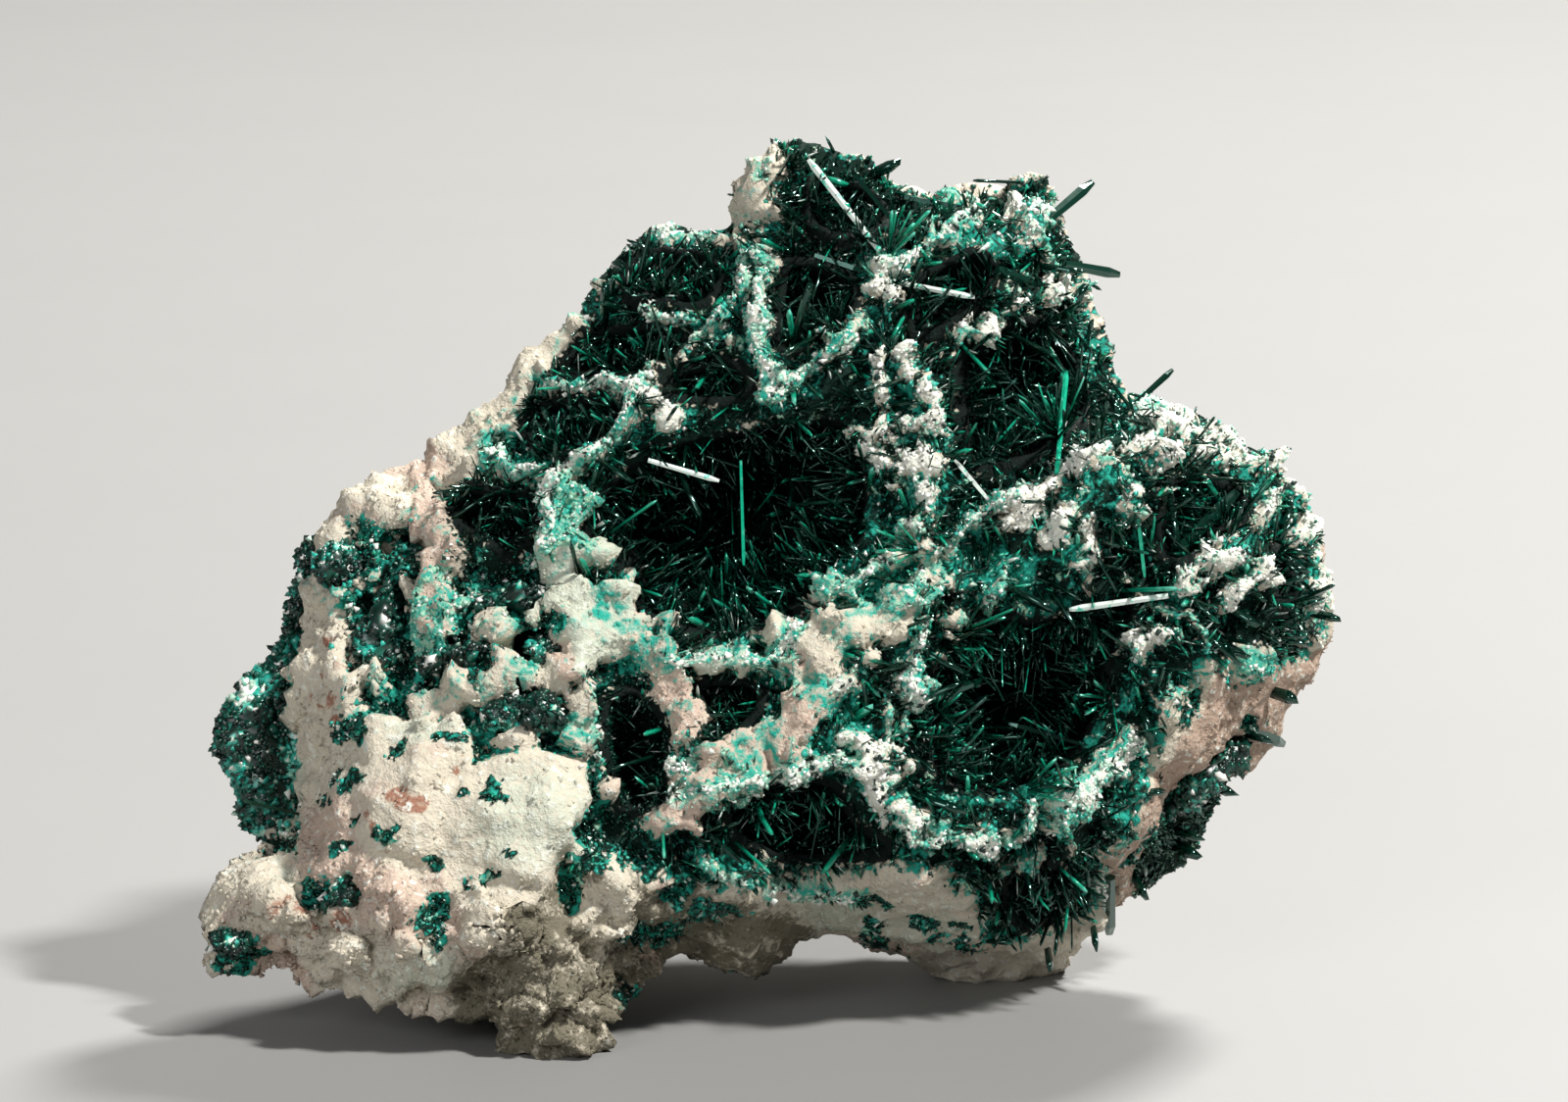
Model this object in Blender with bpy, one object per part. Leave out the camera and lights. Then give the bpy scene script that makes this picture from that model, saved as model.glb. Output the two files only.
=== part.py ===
"""Brochantite on its rock: a free-standing mineral specimen, in metres, with +Z up.

The rock is one broken piece. Its front is eaten into pockets with thin walls between them, and a bed of
green crystals lines each pocket. Crusts of the same mineral sit in hollows of the outside, and single
long crystals lie across the pockets.

Every place is given on the specimen's face, in millimetres: across (to the right), up, and out (towards
the person who looks at it). The whole face then leans back, and the base is cut flat where it stands.
"""

import math
from collections import namedtuple

import bmesh
import bpy
from mathutils import Matrix, Vector, geometry, noise

# Driving dimensions, in millimetres and degrees.
LEAN = 12.0
FRONT_FOOT_OUT = 9.0
ROCK_STEP = 3.1
BACK_STEP = 6.0
RIM_STEP = 2.3
FRONT_ROUND = 6.0
BACK_ROUND = 13.0
ROUGHNESS = 0.55
OUTWARD_ROUGHNESS = 1.6
ROUGH_SIZE = 4.5
RIM_ROUGHNESS = 0.28
RIM_ROUGH_SIZE = 1.4
POCKET_ROUGHNESS = 0.5
POCKET_ROUGH_SIZE = 3.0
CRUST_LUMPS = 0.16
FOOT_LUMPS = 0.3
SPUR_THICKNESS = 1.2
GAP = 0.35
FLOOR_BLOCK = (150.0, 150.0, 20.0)

# Proportions of the pockets, of the beds in them and of the long crystals.
MOUTH_RISE = 14.0
POCKET_SIDES = 8
CUTTER_LEVELS = (-1.0, 0.0, 0.45, 0.8, 0.95)
BED_LEVELS = (0.12, 0.5, 0.88)
BED_CLEARANCE = 0.5
BED_FLOOR_SHARE = 1.2
BOWL_POWER = 2.4
NARROWEST = 0.35
FLATNESS = 0.7
POINT_LENGTH = 3.2
POINT_MOST = 0.3
ROOT_SHARE = 0.8
TIP_SHARES = (0.55, 0.2)

# Shifts that give a push a different pattern across, up and out.
PUSH_SHIFTS = ((9.3, -1.5, -8.0), (0.0, 0.0, 0.0), (-5.8, 7.3, 3.1))

MM = 0.001

# The rim: where the rock's front turns into its back, as the face shows it. Clockwise from the peak.
RIM = [
    (0.3, 59.4, -5), (1.8, 59.4, -5), (3.6, 58.8, -6), (4.7, 60.0, -6), (5.8, 58.8, -6), (7.6, 58.0, -7),
    (8.6, 56.8, -7), (11.0, 56.2, -7), (13.2, 56.2, -7), (14.4, 56.6, -7), (15.6, 56.6, -7),
    (17.0, 57.6, -7), (18.4, 57.0, -7), (19.6, 55.8, -7), (19.4, 54.0, -7), (20.4, 51.6, -7),
    (20.6, 49.6, -7), (21.4, 47.8, -7), (22.3, 45.4, -7), (23.0, 43.2, -7), (24.4, 42.6, -6),
    (26.2, 43.6, -6), (27.2, 42.4, -6), (28.4, 40.8, -6), (30.4, 39.2, -6), (32.6, 38.8, -6),
    (33.6, 37.0, -6), (34.6, 35.2, -6), (36.0, 34.4, -6), (36.2, 32.0, -6), (36.4, 29.6, -7),
    (36.6, 27.4, -8), (35.6, 24.8, -9), (34.0, 23.2, -9), (33.0, 20.8, -10), (31.6, 18.6, -10),
    (29.6, 17.2, -11), (28.6, 15.0, -12), (26.4, 12.4, -12), (24.0, 10.6, -12), (22.2, 10.2, -10),
    (21.4, 8.6, -11), (19.8, 6.6, -12), (17.6, 5.6, -13), (15.0, 5.4, -14), (12.4, 5.4, -14),
    (10.4, 6.2, -12), (8.0, 7.2, -9), (5.6, 8.0, -6), (3.2, 8.5, -5), (1.4, 8.0, -4), (0.6, 6.4, -4),
    (-1.0, 5.8, -3), (-4.0, 6.1, -2), (-6.6, 6.6, 0), (-8.8, 5.0, 3), (-9.8, 2.8, 6), (-11.0, 1.4, 8),
    (-13.4, 0.3, 9), (-15.2, 0.0, 10), (-16.4, 1.4, 10), (-17.6, 2.4, 9), (-19.6, 3.2, 8),
    (-22.6, 3.9, 7), (-25.0, 4.2, 6), (-27.6, 4.0, 5), (-30.0, 4.6, 4), (-32.0, 5.8, 4), (-35.0, 6.2, 4),
    (-37.0, 6.8, 4), (-37.3, 7.8, 4), (-36.0, 9.0, 4), (-35.8, 11.0, 3), (-34.6, 12.4, 2),
    (-32.2, 13.6, 1), (-30.4, 15.4, 0), (-29.8, 18.0, -1), (-29.9, 21.0, -2), (-31.2, 22.6, -2),
    (-31.6, 24.6, -2), (-31.0, 27.0, -3), (-30.2, 29.5, -3), (-29.6, 32.0, -3), (-29.0, 34.2, -3),
    (-27.6, 35.3, -3), (-27.3, 37.2, -3), (-26.2, 37.8, -4), (-22.6, 37.8, -4), (-21.0, 39.0, -4),
    (-18.4, 41.0, -4), (-16.6, 43.2, -4), (-15.0, 45.2, -5), (-12.6, 46.8, -5), (-11.3, 48.4, -5),
    (-11.0, 51.0, -5), (-10.7, 54.2, -6), (-9.6, 54.5, -6), (-7.4, 53.9, -6), (-4.6, 54.2, -6),
    (-3.0, 54.0, -6), (-2.6, 55.6, -6), (-1.2, 57.2, -5),
]

# How far out the front stands at places inside the rim.
FRONT = [
    (-33, 10, 8), (-28, 14, 9), (-22, 16, 11), (-15, 14, 12), (-22, 9, 11), (-29, 20, 6), (-26, 28, 3),
    (-18, 22, 9), (-12, 26, 8), (-24, 34, 1), (-14, 4, 10), (-12, 32, 6), (-12, 38, 4), (-6, 26, 7),
    (0, 26, 7), (3, 21, 9), (-4, 17, 9), (7, 28, 8), (9, 33, 6), (10, 38, 5), (7, 44, 4), (0, 44, 4),
    (-8, 41, 4), (-16, 40, 1), (-12, 45, 0), (-4, 47, 1), (0, 52, 0), (7, 51, 1), (1, 57, -1),
    (12, 54, 0), (17, 54, -1), (18, 47, 1), (14, 35, 6), (22, 36, 6), (26, 41, 3), (30, 39, 1),
    (34, 36, -1), (28, 30, 5), (33, 30, 1), (25, 24, 5), (22, 16, 4), (30, 21, -2), (27, 16, -5),
    (18, 15, 6), (10, 14, 8), (8, 18, 9), (2, 10, 6), (-4, 11, 8), (8, 9, 2), (13, 8, -2), (18, 7, -7),
    (-9, 12, 9), (-9, 20, 8),
]

# How far out the back stands, all of it behind the rim.
BACK = [
    (-15, 10, -21), (-5, 15, -24), (5, 20, -24), (10, 13, -24), (20, 25, -20), (15, 40, -18),
    (0, 45, -17), (-15, 30, -19), (-25, 20, -17), (-31, 11, -11), (28, 30, -16), (8, 52, -13),
    (-20, 7, -20), (25, 16, -18),
]

# A pocket: its outline on the face, clockwise, how deep it goes, and how thick its bed of crystals is.
Pocket = namedtuple("Pocket", "name outline depth bed")
POCKETS = [
    Pocket("wing", [
        (-10.2, 53.2), (-7.4, 52.9), (-4.4, 52.6), (-3.0, 51.6), (-2.6, 50.6), (-3.8, 48.9), (-5.2, 48.4),
        (-7.4, 48.9), (-9.6, 49.0), (-10.2, 50.6)], 5.5, 1.2),
    Pocket("shoulder", [
        (-11.2, 47.1), (-8.0, 47.5), (-5.0, 46.7), (-6.2, 44.8), (-9.0, 43.8), (-12.4, 43.8),
        (-14.2, 44.2), (-13.0, 45.7)], 4.5, 1.0),
    Pocket("upper_left", [
        (-15.7, 42.2), (-13.0, 42.5), (-10.2, 42.4), (-9.4, 41.2), (-11.0, 39.5), (-12.8, 38.6),
        (-15.0, 39.2), (-16.3, 40.4)], 4.5, 1.1),
    Pocket("left", [
        (-19.8, 36.9), (-17.0, 36.7), (-14.9, 36.2), (-14.7, 34.6), (-15.4, 32.9), (-16.8, 31.9),
        (-18.4, 32.9), (-20.3, 34.2), (-20.5, 35.9)], 4.5, 1.0),
    Pocket("main", [
        (-12.2, 34.4), (-10.7, 36.9), (-7.2, 39.6), (-3.6, 40.5), (0.4, 41.2), (4.0, 41.6), (5.8, 41.2),
        (6.6, 39.0), (7.0, 36.0), (6.8, 33.6), (5.0, 31.0), (2.8, 28.8), (-0.4, 27.0), (-4.0, 26.7),
        (-7.0, 27.6), (-9.0, 29.0), (-9.8, 31.2), (-11.4, 32.8)], 12.5, 2.4),
    Pocket("brow", [
        (-6.9, 43.9), (-4.8, 44.5), (-3.0, 45.1), (-1.7, 44.6), (-0.7, 43.2), (-2.0, 42.3), (-4.4, 42.1),
        (-6.4, 42.4)], 3.0, 0.8),
    Pocket("middle_top", [
        (1.3, 51.8), (3.4, 51.4), (5.6, 50.4), (5.8, 48.6), (5.2, 47.1), (3.6, 46.2), (1.6, 45.2),
        (0.5, 45.6), (0.4, 47.6), (0.7, 50.0)], 6.0, 1.1),
    Pocket("peak", [
        (2.6, 57.4), (4.6, 57.4), (7.0, 56.3), (8.1, 54.6), (7.6, 53.2), (6.2, 52.6), (3.8, 53.2),
        (2.4, 54.0), (2.3, 56.0)], 5.0, 1.0),
    Pocket("sparkle", [
        (9.3, 50.2), (11.4, 51.5), (13.8, 52.4), (14.9, 51.4), (14.4, 49.6), (12.6, 47.7), (10.6, 46.4),
        (9.3, 46.2), (8.8, 48.0)], 3.5, 0.9),
    Pocket("upper_right", [
        (16.4, 48.0), (18.9, 47.6), (20.3, 45.6), (21.2, 43.4), (20.8, 41.4), (19.2, 39.9), (17.4, 38.5),
        (15.0, 37.7), (12.8, 37.7), (12.6, 40.0), (11.9, 43.0), (12.0, 45.2), (14.0, 46.8)], 9.5, 2.0),
    Pocket("right", [
        (25.6, 37.2), (28.0, 37.6), (30.4, 37.1), (31.5, 36.0), (31.0, 34.9), (29.2, 33.6), (27.7, 32.1),
        (26.4, 31.5), (25.1, 32.2), (25.0, 34.4)], 6.5, 1.2),
    Pocket("right_rim", [
        (33.5, 33.2), (34.5, 31.4), (34.5, 29.6), (33.6, 28.9), (32.5, 29.6), (32.0, 31.2),
        (32.5, 32.7)], 3.0, 0.7),
    Pocket("lower_right", [
        (11.2, 27.9), (13.8, 28.9), (17.0, 28.3), (20.2, 28.9), (23.0, 29.9), (24.2, 29.0), (23.2, 27.0),
        (22.2, 24.4), (21.9, 21.6), (20.2, 18.9), (17.8, 17.1), (14.8, 16.3), (11.8, 16.7), (10.2, 18.2),
        (10.0, 20.8), (9.9, 23.4), (10.3, 26.0)], 12.0, 2.4),
    Pocket("under_band", [
        (-2.6, 16.0), (0.4, 17.5), (3.0, 18.0), (4.8, 17.0), (6.0, 15.0), (8.0, 14.1), (8.2, 13.2),
        (6.0, 12.6), (3.0, 12.3), (0.2, 12.7), (-1.8, 13.6), (-3.0, 14.8)], 7.0, 1.4),
    Pocket("slot", [
        (-5.0, 24.1), (-2.8, 24.3), (-0.4, 23.9), (-0.4, 22.2), (-1.6, 20.8), (-3.0, 20.2),
        (-4.2, 21.6)], 5.5, 0.9),
    Pocket("lower_left", [
        (-10.6, 23.0), (-8.6, 23.6), (-7.2, 22.4), (-6.1, 20.6), (-6.2, 18.2), (-6.4, 16.2), (-7.8, 15.4),
        (-9.6, 15.8), (-10.4, 17.6), (-10.8, 20.2)], 5.5, 1.1),
    Pocket("bottom_right", [
        (15.4, 12.0), (17.8, 12.6), (19.8, 11.9), (20.0, 10.2), (19.0, 8.8), (17.2, 8.2), (15.5, 8.7),
        (14.7, 10.2)], 4.5, 0.9),
]

# A crust: a rough cake of small crystals let into the rock. Half sizes run across, up and out, and turn
# is the angle of its first size on the face. Its centre stands this far out of the side it is on.
Crust = namedtuple("Crust", "name side centre half turn")
CRUSTS = [
    Crust("left_edge", "front", (-33.0, 19.2, -1.0), (6.6, 2.7, 4.0), 97),
    Crust("left_upper_edge", "front", (-30.4, 30.4, -1.2), (4.2, 1.3, 2.6), 78),
    Crust("tall_patch", "front", (-25.3, 26.6, -0.5), (4.6, 1.7, 1.7), 86),
    Crust("round_vug_left", "front", (-27.6, 31.6, -0.5), (1.7, 1.5, 1.7), 20),
    Crust("round_vug_right", "front", (-23.6, 32.6, -0.5), (2.0, 1.1, 1.6), 0),
    Crust("middle_patch", "front", (-16.4, 29.3, -0.4), (3.2, 1.5, 1.6), 8),
    Crust("eye_patch", "front", (-19.6, 25.6, -0.4), (3.1, 1.5, 1.6), 10),
    Crust("ring_patch", "front", (-14.6, 26.0, -0.4), (1.7, 1.4, 1.6), 0),
    Crust("speckled_patch", "front", (-16.2, 22.2, -0.4), (3.8, 1.7, 1.5), -8),
    Crust("ledge_patch", "front", (-27.6, 10.2, -0.5), (2.6, 1.1, 1.5), 22),
    Crust("heel_patch", "front", (-33.6, 8.2, 0.3), (1.9, 1.0, 1.6), 8),
    Crust("right_flank", "front", (28.6, 18.2, -0.8), (4.6, 1.5, 2.6), 40),
    Crust("back_upper", "back", (10.0, 40.0, -0.3), (8.5, 5.5, 2.4), 30),
    Crust("back_right", "back", (23.0, 24.0, -0.5), (7.5, 5.0, 2.6), 55),
    Crust("back_low", "back", (2.0, 21.0, -0.3), (6.5, 4.0, 2.2), -20),
]

# A long crystal from its root to its tip, with its width and the number of sides of its cross-section.
Crystal = namedtuple("Crystal", "name root tip width sides")
CRYSTALS = [
    Crystal("peak_blade_front", (7.2, 52.2, 0.6), (2.6, 58.4, 1.2), 0.55, 6),
    Crystal("peak_blade_back", (8.6, 53.6, 0.4), (5.6, 57.4, 0.4), 0.40, 4),
    Crystal("cross_blade_long", (7.9, 50.2, 0.4), (13.4, 49.1, 0.8), 0.45, 6),
    Crystal("cross_blade_brown", (3.0, 51.9, 0.5), (6.2, 50.8, 0.6), 0.45, 4),
    Crystal("main_blade", (-7.8, 38.4, 0.3), (-3.2, 37.1, -1.0), 0.42, 6),
    Crystal("main_needle_tall", (-1.8, 38.4, -0.6), (-1.6, 31.6, -2.2), 0.30, 4),
    Crystal("main_needle_right", (5.4, 35.9, -1.5), (1.4, 35.6, -4.5), 0.30, 4),
    Crystal("main_needle_slant", (3.8, 34.4, -5.0), (2.0, 31.2, -3.0), 0.30, 4),
    Crystal("corner_blade", (14.2, 35.7, 0.8), (12.0, 38.4, 0.2), 0.40, 4),
    Crystal("upright_needle", (18.6, 37.4, 0.4), (19.4, 44.4, 0.2), 0.42, 6),
    Crystal("rim_bar_dark", (21.0, 39.3, 0.4), (28.2, 41.4, 1.0), 0.75, 6),
    Crystal("rim_bar_pale", (24.0, 42.4, 0.4), (26.6, 44.8, 0.6), 0.50, 6),
    Crystal("right_blade_broad", (26.6, 32.6, -1.5), (30.6, 36.6, -0.6), 1.00, 6),
    Crystal("right_needle", (23.6, 36.4, 0.5), (24.3, 30.8, 0.5), 0.32, 4),
    Crystal("lower_right_blade", (25.8, 29.6, 0.6), (19.4, 28.7, 0.6), 0.50, 6),
    Crystal("lower_right_bar", (8.2, 21.9, 0.6), (13.8, 24.2, -1.5), 0.55, 6),
    Crystal("lower_right_needle", (21.9, 19.6, -0.5), (15.6, 21.4, -3.0), 0.36, 4),
    Crystal("top_right_blade", (18.2, 54.4, 0.2), (21.4, 57.3, 0.2), 0.85, 6),
    Crystal("top_right_spike", (19.4, 51.6, 0.0), (23.2, 51.2, -0.6), 0.80, 6),
    Crystal("top_right_slab", (14.9, 51.0, 0.3), (20.7, 49.1, 0.6), 0.80, 6),
    Crystal("crown_bar", (8.9, 56.0, 0.3), (13.1, 55.2, 0.5), 0.45, 4),
    Crystal("band_blade", (-3.8, 14.2, 0.4), (-1.6, 12.3, 0.6), 0.42, 6),
    Crystal("left_edge_needle", (-30.4, 15.5, 0.9), (-34.0, 16.4, 2.6), 0.36, 4),
    Crystal("flank_spike_low", (22.4, 11.4, -0.5), (22.6, 7.6, -0.5), 0.90, 6),
    Crystal("flank_spike_high", (31.4, 21.2, -0.5), (34.2, 20.2, -0.5), 0.85, 6),
]

# A foot: a lump under the rock, with half sizes across, up and out, cut flat where the specimen stands.
Foot = namedtuple("Foot", "name centre half")
FEET = [
    Foot("front", (-14.2, 3.4, 7.6), (4.0, 3.8, 4.4)),
    Foot("right", (15.0, 8.9, -14.6), (5.0, 4.4, 4.6)),
    Foot("back", (-17.0, 9.9, -18.0), (5.4, 5.0, 5.0)),
]

# Colour, roughness and metallic value of each finish.
ROCK_FINISH = ("rock", (0.74, 0.66, 0.58, 1.0), 0.85, 0.0)
BED_FINISH = ("crystal_bed", (0.005, 0.075, 0.050, 1.0), 0.35, 0.0)
CRYSTAL_FINISH = ("crystal", (0.004, 0.100, 0.062, 1.0), 0.12, 0.0)


def clear_scene():
    """Removes the objects that Blender starts with."""
    for obj in list(bpy.data.objects):
        bpy.data.objects.remove(obj)


def finish(name, colour, roughness, metallic):
    """A material with a Principled shader of this colour, roughness and metallic value."""
    material = bpy.data.materials.new(name)
    material.use_nodes = True
    shader = material.node_tree.nodes["Principled BSDF"]
    shader.inputs["Base Color"].default_value = colour
    shader.inputs["Roughness"].default_value = roughness
    shader.inputs["Metallic"].default_value = metallic
    return material


def local(across, up, out):
    """A place on the face as a point of the face's own frame, in metres: X across, Z up, Y away."""
    return Vector((across, -out, up)) * MM


def blended(knots, across, up):
    """The out value of knots at a place, each knot counting by the cube of its nearness."""
    total = weights = 0.0
    for knot_across, knot_up, out in knots:
        distance = math.hypot(knot_across - across, knot_up - up) + 0.3
        weight = distance ** -3
        total += weight * out
        weights += weight
    return total / weights


def inside_rim(across, up):
    """Whether a place is inside the rim, by the sides that a line to its right crosses."""
    crossed = 0
    for (x0, y0, _), (x1, y1, _) in zip(RIM, RIM[1:] + RIM[:1]):
        if (y0 > up) != (y1 > up) and across < x0 + (up - y0) / (y1 - y0) * (x1 - x0):
            crossed += 1
    return crossed % 2 == 1


def distance_to_rim(across, up):
    """How far a place is from the nearest side of the rim."""
    place = Vector((across, up))
    best = math.inf
    for start, end in zip(RIM, RIM[1:] + RIM[:1]):
        near, share = geometry.intersect_point_line(place, start[:2], end[:2])
        near = start if share < 0 else end if share > 1 else near
        best = min(best, (Vector(near[:2]) - place).length)
    return best


def stands_out(knots, across, up):
    """How far out a side of the rock stands before its pockets are cut, domed from the rim."""
    edge = blended(RIM, across, up)
    if not inside_rim(across, up):
        return edge
    share = min(1.0, distance_to_rim(across, up) / (FRONT_ROUND if knots is FRONT else BACK_ROUND))
    return edge + (blended(knots, across, up) - edge) * math.sqrt(1 - (1 - share) ** 2)


def rough(across, up, out, size, amount):
    """A repeatable push in three directions, which makes a smooth shape rocky."""
    place = Vector((across, up, out)) / size
    return Vector(noise.noise(place + Vector(shift)) for shift in PUSH_SHIFTS) * amount


def spaced(points, step):
    """A closed line through points with a point at least every step."""
    line = []
    for start, end in zip(points, points[1:] + points[:1]):
        start, end = Vector(start), Vector(end)
        parts = max(1, math.ceil((end - start).length / step))
        line += [start.lerp(end, part / parts) for part in range(parts)]
    return line


def skin(bm, rim, rim_points, knots, step):
    """One side of the rock: triangles inside the rim, domed from it towards the knots' out values."""
    flat_rim = [point.to_2d() for point in rim]
    inside = []
    row = 0
    up = min(p.y for p in flat_rim)
    while up < max(p.y for p in flat_rim):
        across = min(p.x for p in flat_rim) + (row % 2) * step / 2
        while across < max(p.x for p in flat_rim):
            shift = rough(across, up, step, step, 0.3 * step)
            place = (across + shift.x, up + shift.y)
            if inside_rim(*place) and distance_to_rim(*place) > 0.6 * step:
                inside.append(Vector(place))
            across += step
        row += 1
        up += step
    sides = [(i, (i + 1) % len(flat_rim)) for i in range(len(flat_rim))]
    places, _, faces, *_ = geometry.delaunay_2d_cdt(flat_rim + inside, sides, [], 1, 1e-6)
    verts = list(rim_points)
    for place in places[len(flat_rim):]:
        out = stands_out(knots, *place)
        push = rough(place.x, place.y, out, ROUGH_SIZE, ROUGHNESS)
        rise = OUTWARD_ROUGHNESS * push.z
        verts.append(bm.verts.new(local(place.x + push.x, place.y + push.y, out + rise)))
    return verts, faces


def rock_blank():
    """The rock before its pockets are cut: a front and a back skin that share the rim's points."""
    bm = bmesh.new()
    rim = []
    for point in spaced(RIM, RIM_STEP):
        push = rough(*point, RIM_ROUGH_SIZE, RIM_ROUGHNESS)
        rim.append(Vector((point.x + push.x, point.y + push.y, point.z)))
    rim_points = [bm.verts.new(local(*point)) for point in rim]
    front_verts, front_faces = skin(bm, rim, rim_points, FRONT, ROCK_STEP)
    back_verts, back_faces = skin(bm, rim, rim_points, BACK, BACK_STEP)
    shared = {frozenset(f) for f in front_faces} & {frozenset(f) for f in back_faces}
    for face in front_faces:
        corners = [front_verts[i] for i in face]
        if frozenset(face) in shared:
            middle = sum((corner.co for corner in corners), Vector()) / 3
            top = bm.verts.new(middle + local(0, 0, SPUR_THICKNESS))
            for first, second in zip(corners, corners[1:] + corners[:1]):
                bm.faces.new((first, second, top))
        else:
            bm.faces.new(corners)
    for face in back_faces:
        bm.faces.new([back_verts[i] for i in reversed(face)])
    bmesh.ops.recalc_face_normals(bm, faces=bm.faces)
    return bm


def ring_points(outline, inset, share):
    """An outline drawn in by inset towards its middle, then scaled about it."""
    middle = sum(outline, Vector((0, 0))) / len(outline)
    ring = []
    for point in outline:
        arm = point - middle
        ring.append(middle + arm * max(NARROWEST, 1 - inset / arm.length) * share)
    return ring


def even_outline(pocket):
    """The pocket's outline with its sides split to about the same length."""
    points = [Vector(p) for p in pocket.outline]
    length = sum((b - a).length for a, b in zip(points, points[1:] + points[:1]))
    return spaced(points, 1.5 * length / POCKET_SIDES)


def bowl(bm, outline, inset, depth, levels):
    """Rings of a bowl from its mouth down, and the point at its bottom."""
    rings = []
    for level in levels:
        share = (1 - max(level, 0.0) ** BOWL_POWER) ** (1 / BOWL_POWER)
        rise = -level * MOUTH_RISE if level < 0 else -level * depth
        ring = []
        for point in ring_points(outline, inset, share):
            amount = POCKET_ROUGHNESS * min(1.0, max(0.0, level) * 2)
            push = rough(point.x, point.y, level * depth, POCKET_ROUGH_SIZE, amount)
            out = stands_out(FRONT, *point) + rise + push.z
            ring.append(bm.verts.new(local(point.x + push.x, point.y + push.y, out)))
        rings.append(ring)
    middle = sum(outline, Vector((0, 0))) / len(outline)
    bottom = bm.verts.new(local(*middle, stands_out(FRONT, *middle) - depth))
    return rings, bottom


def skin_rings(bm, rings, bottom):
    """Faces between neighbouring rings, and a fan to the bottom point."""
    for above, below in zip(rings, rings[1:]):
        for i, vert in enumerate(above):
            after = (i + 1) % len(above)
            bm.faces.new((vert, above[after], below[after]))
            bm.faces.new((vert, below[after], below[i]))
    last = rings[-1]
    for i, vert in enumerate(last):
        bm.faces.new((vert, last[(i + 1) % len(last)], bottom))


def pocket_cutter(bm, pocket):
    """The space of one pocket, from in front of the rock down to its floor."""
    outline = even_outline(pocket)
    rings, bottom = bowl(bm, outline, 0.0, pocket.depth, CUTTER_LEVELS)
    skin_rings(bm, rings, bottom)
    bm.faces.new(rings[0][::-1])


def pocket_bed(pocket):
    """The bed of crystals in one pocket: a rough cup that follows its walls and floor."""
    bm = bmesh.new()
    outline = even_outline(pocket)
    outer, outer_bottom = bowl(bm, outline, BED_CLEARANCE, pocket.depth - GAP, BED_LEVELS)
    inset = BED_CLEARANCE + pocket.bed
    depth = pocket.depth - GAP - BED_FLOOR_SHARE * pocket.bed
    inner, inner_bottom = bowl(bm, outline, inset, depth, BED_LEVELS)
    skin_rings(bm, outer, outer_bottom)
    skin_rings(bm, inner, inner_bottom)
    for face in list(bm.faces)[len(bm.faces) // 2:]:
        face.normal_flip()
    count = len(outer[0])
    for i in range(count):
        after = (i + 1) % count
        bm.faces.new((outer[0][i], inner[0][i], inner[0][after]))
        bm.faces.new((outer[0][i], inner[0][after], outer[0][after]))
    bmesh.ops.recalc_face_normals(bm, faces=bm.faces)
    return bm


def cake(bm, crust, grow):
    """A crust's rough ellipsoid, made larger by grow all round."""
    made = bmesh.ops.create_icosphere(bm, subdivisions=2, radius=1.0)["verts"]
    turn = Matrix.Rotation(math.radians(crust.turn), 3, "Z")
    across, up, rise = crust.centre
    if crust.side == "front":
        centre = Vector((across, up, stands_out(FRONT, across, up) + rise))
    else:
        centre = Vector((across, up, stands_out(BACK, across, up) - rise))
    for vert in made:
        unit = vert.co.copy()
        lump = 1 + CRUST_LUMPS * noise.noise(unit * 1.7 + centre)
        arm = Vector(unit[i] * (crust.half[i] * lump + grow) for i in range(3))
        vert.co = local(*(centre + turn @ arm))


def crust_piece(crust):
    """The crust itself."""
    bm = bmesh.new()
    cake(bm, crust, 0.0)
    bmesh.ops.recalc_face_normals(bm, faces=bm.faces)
    return bm


def foot_knob(bm, foot):
    """The knob that a foot adds under the rock."""
    made = bmesh.ops.create_icosphere(bm, subdivisions=2, radius=1.0)["verts"]
    for vert in made:
        lump = 1 + FOOT_LUMPS * noise.noise(vert.co * 1.9 + Vector(foot.centre))
        arm = Vector(vert.co[i] * foot.half[i] for i in range(3)) * lump
        vert.co = local(*(Vector(foot.centre) + arm))


def crystal_frame(crystal):
    """The crystal's root and axis, with the directions of its width and its thickness."""
    root, tip = (
        local(across, up, stands_out(FRONT, across, up) + rise)
        for across, up, rise in (crystal.root, crystal.tip))
    axis = tip - root
    flat = axis.cross(Vector((0, 1, 0))).normalized()
    return root, axis, flat, axis.cross(flat).normalized()


def prism(bm, root, axis, flat, thick, stations, sides):
    """A closed prism through stations: each is a share of the axis, a half width and a half thickness."""
    rings = []
    for share, wide, deep in stations:
        ring = []
        for side in range(sides):
            angle = 2 * math.pi * (side + 0.5) / sides
            offset = flat * (wide * math.cos(angle)) + thick * (deep * math.sin(angle))
            ring.append(bm.verts.new(root + axis * share + offset))
        rings.append(ring)
    for above, below in zip(rings, rings[1:]):
        for i in range(sides):
            after = (i + 1) % sides
            bm.faces.new((above[i], above[after], below[after], below[i]))
    bm.faces.new(rings[0][::-1])
    bm.faces.new(rings[-1])


def crystal_piece(crystal):
    """A long crystal: a flattened prism with a chisel end and a slightly narrower root."""
    bm = bmesh.new()
    root, axis, flat, thick = crystal_frame(crystal)
    wide = crystal.width * MM / 2
    deep = wide * FLATNESS
    point = 1 - min(POINT_LENGTH * wide / axis.length, POINT_MOST)
    root_end = (0.0, ROOT_SHARE * wide, ROOT_SHARE * deep)
    stations = (root_end, (point, wide, deep), (1.0, TIP_SHARES[0] * wide, TIP_SHARES[1] * deep))
    prism(bm, root, axis, flat, thick, stations, crystal.sides)
    bmesh.ops.recalc_face_normals(bm, faces=bm.faces)
    return bm


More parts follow.
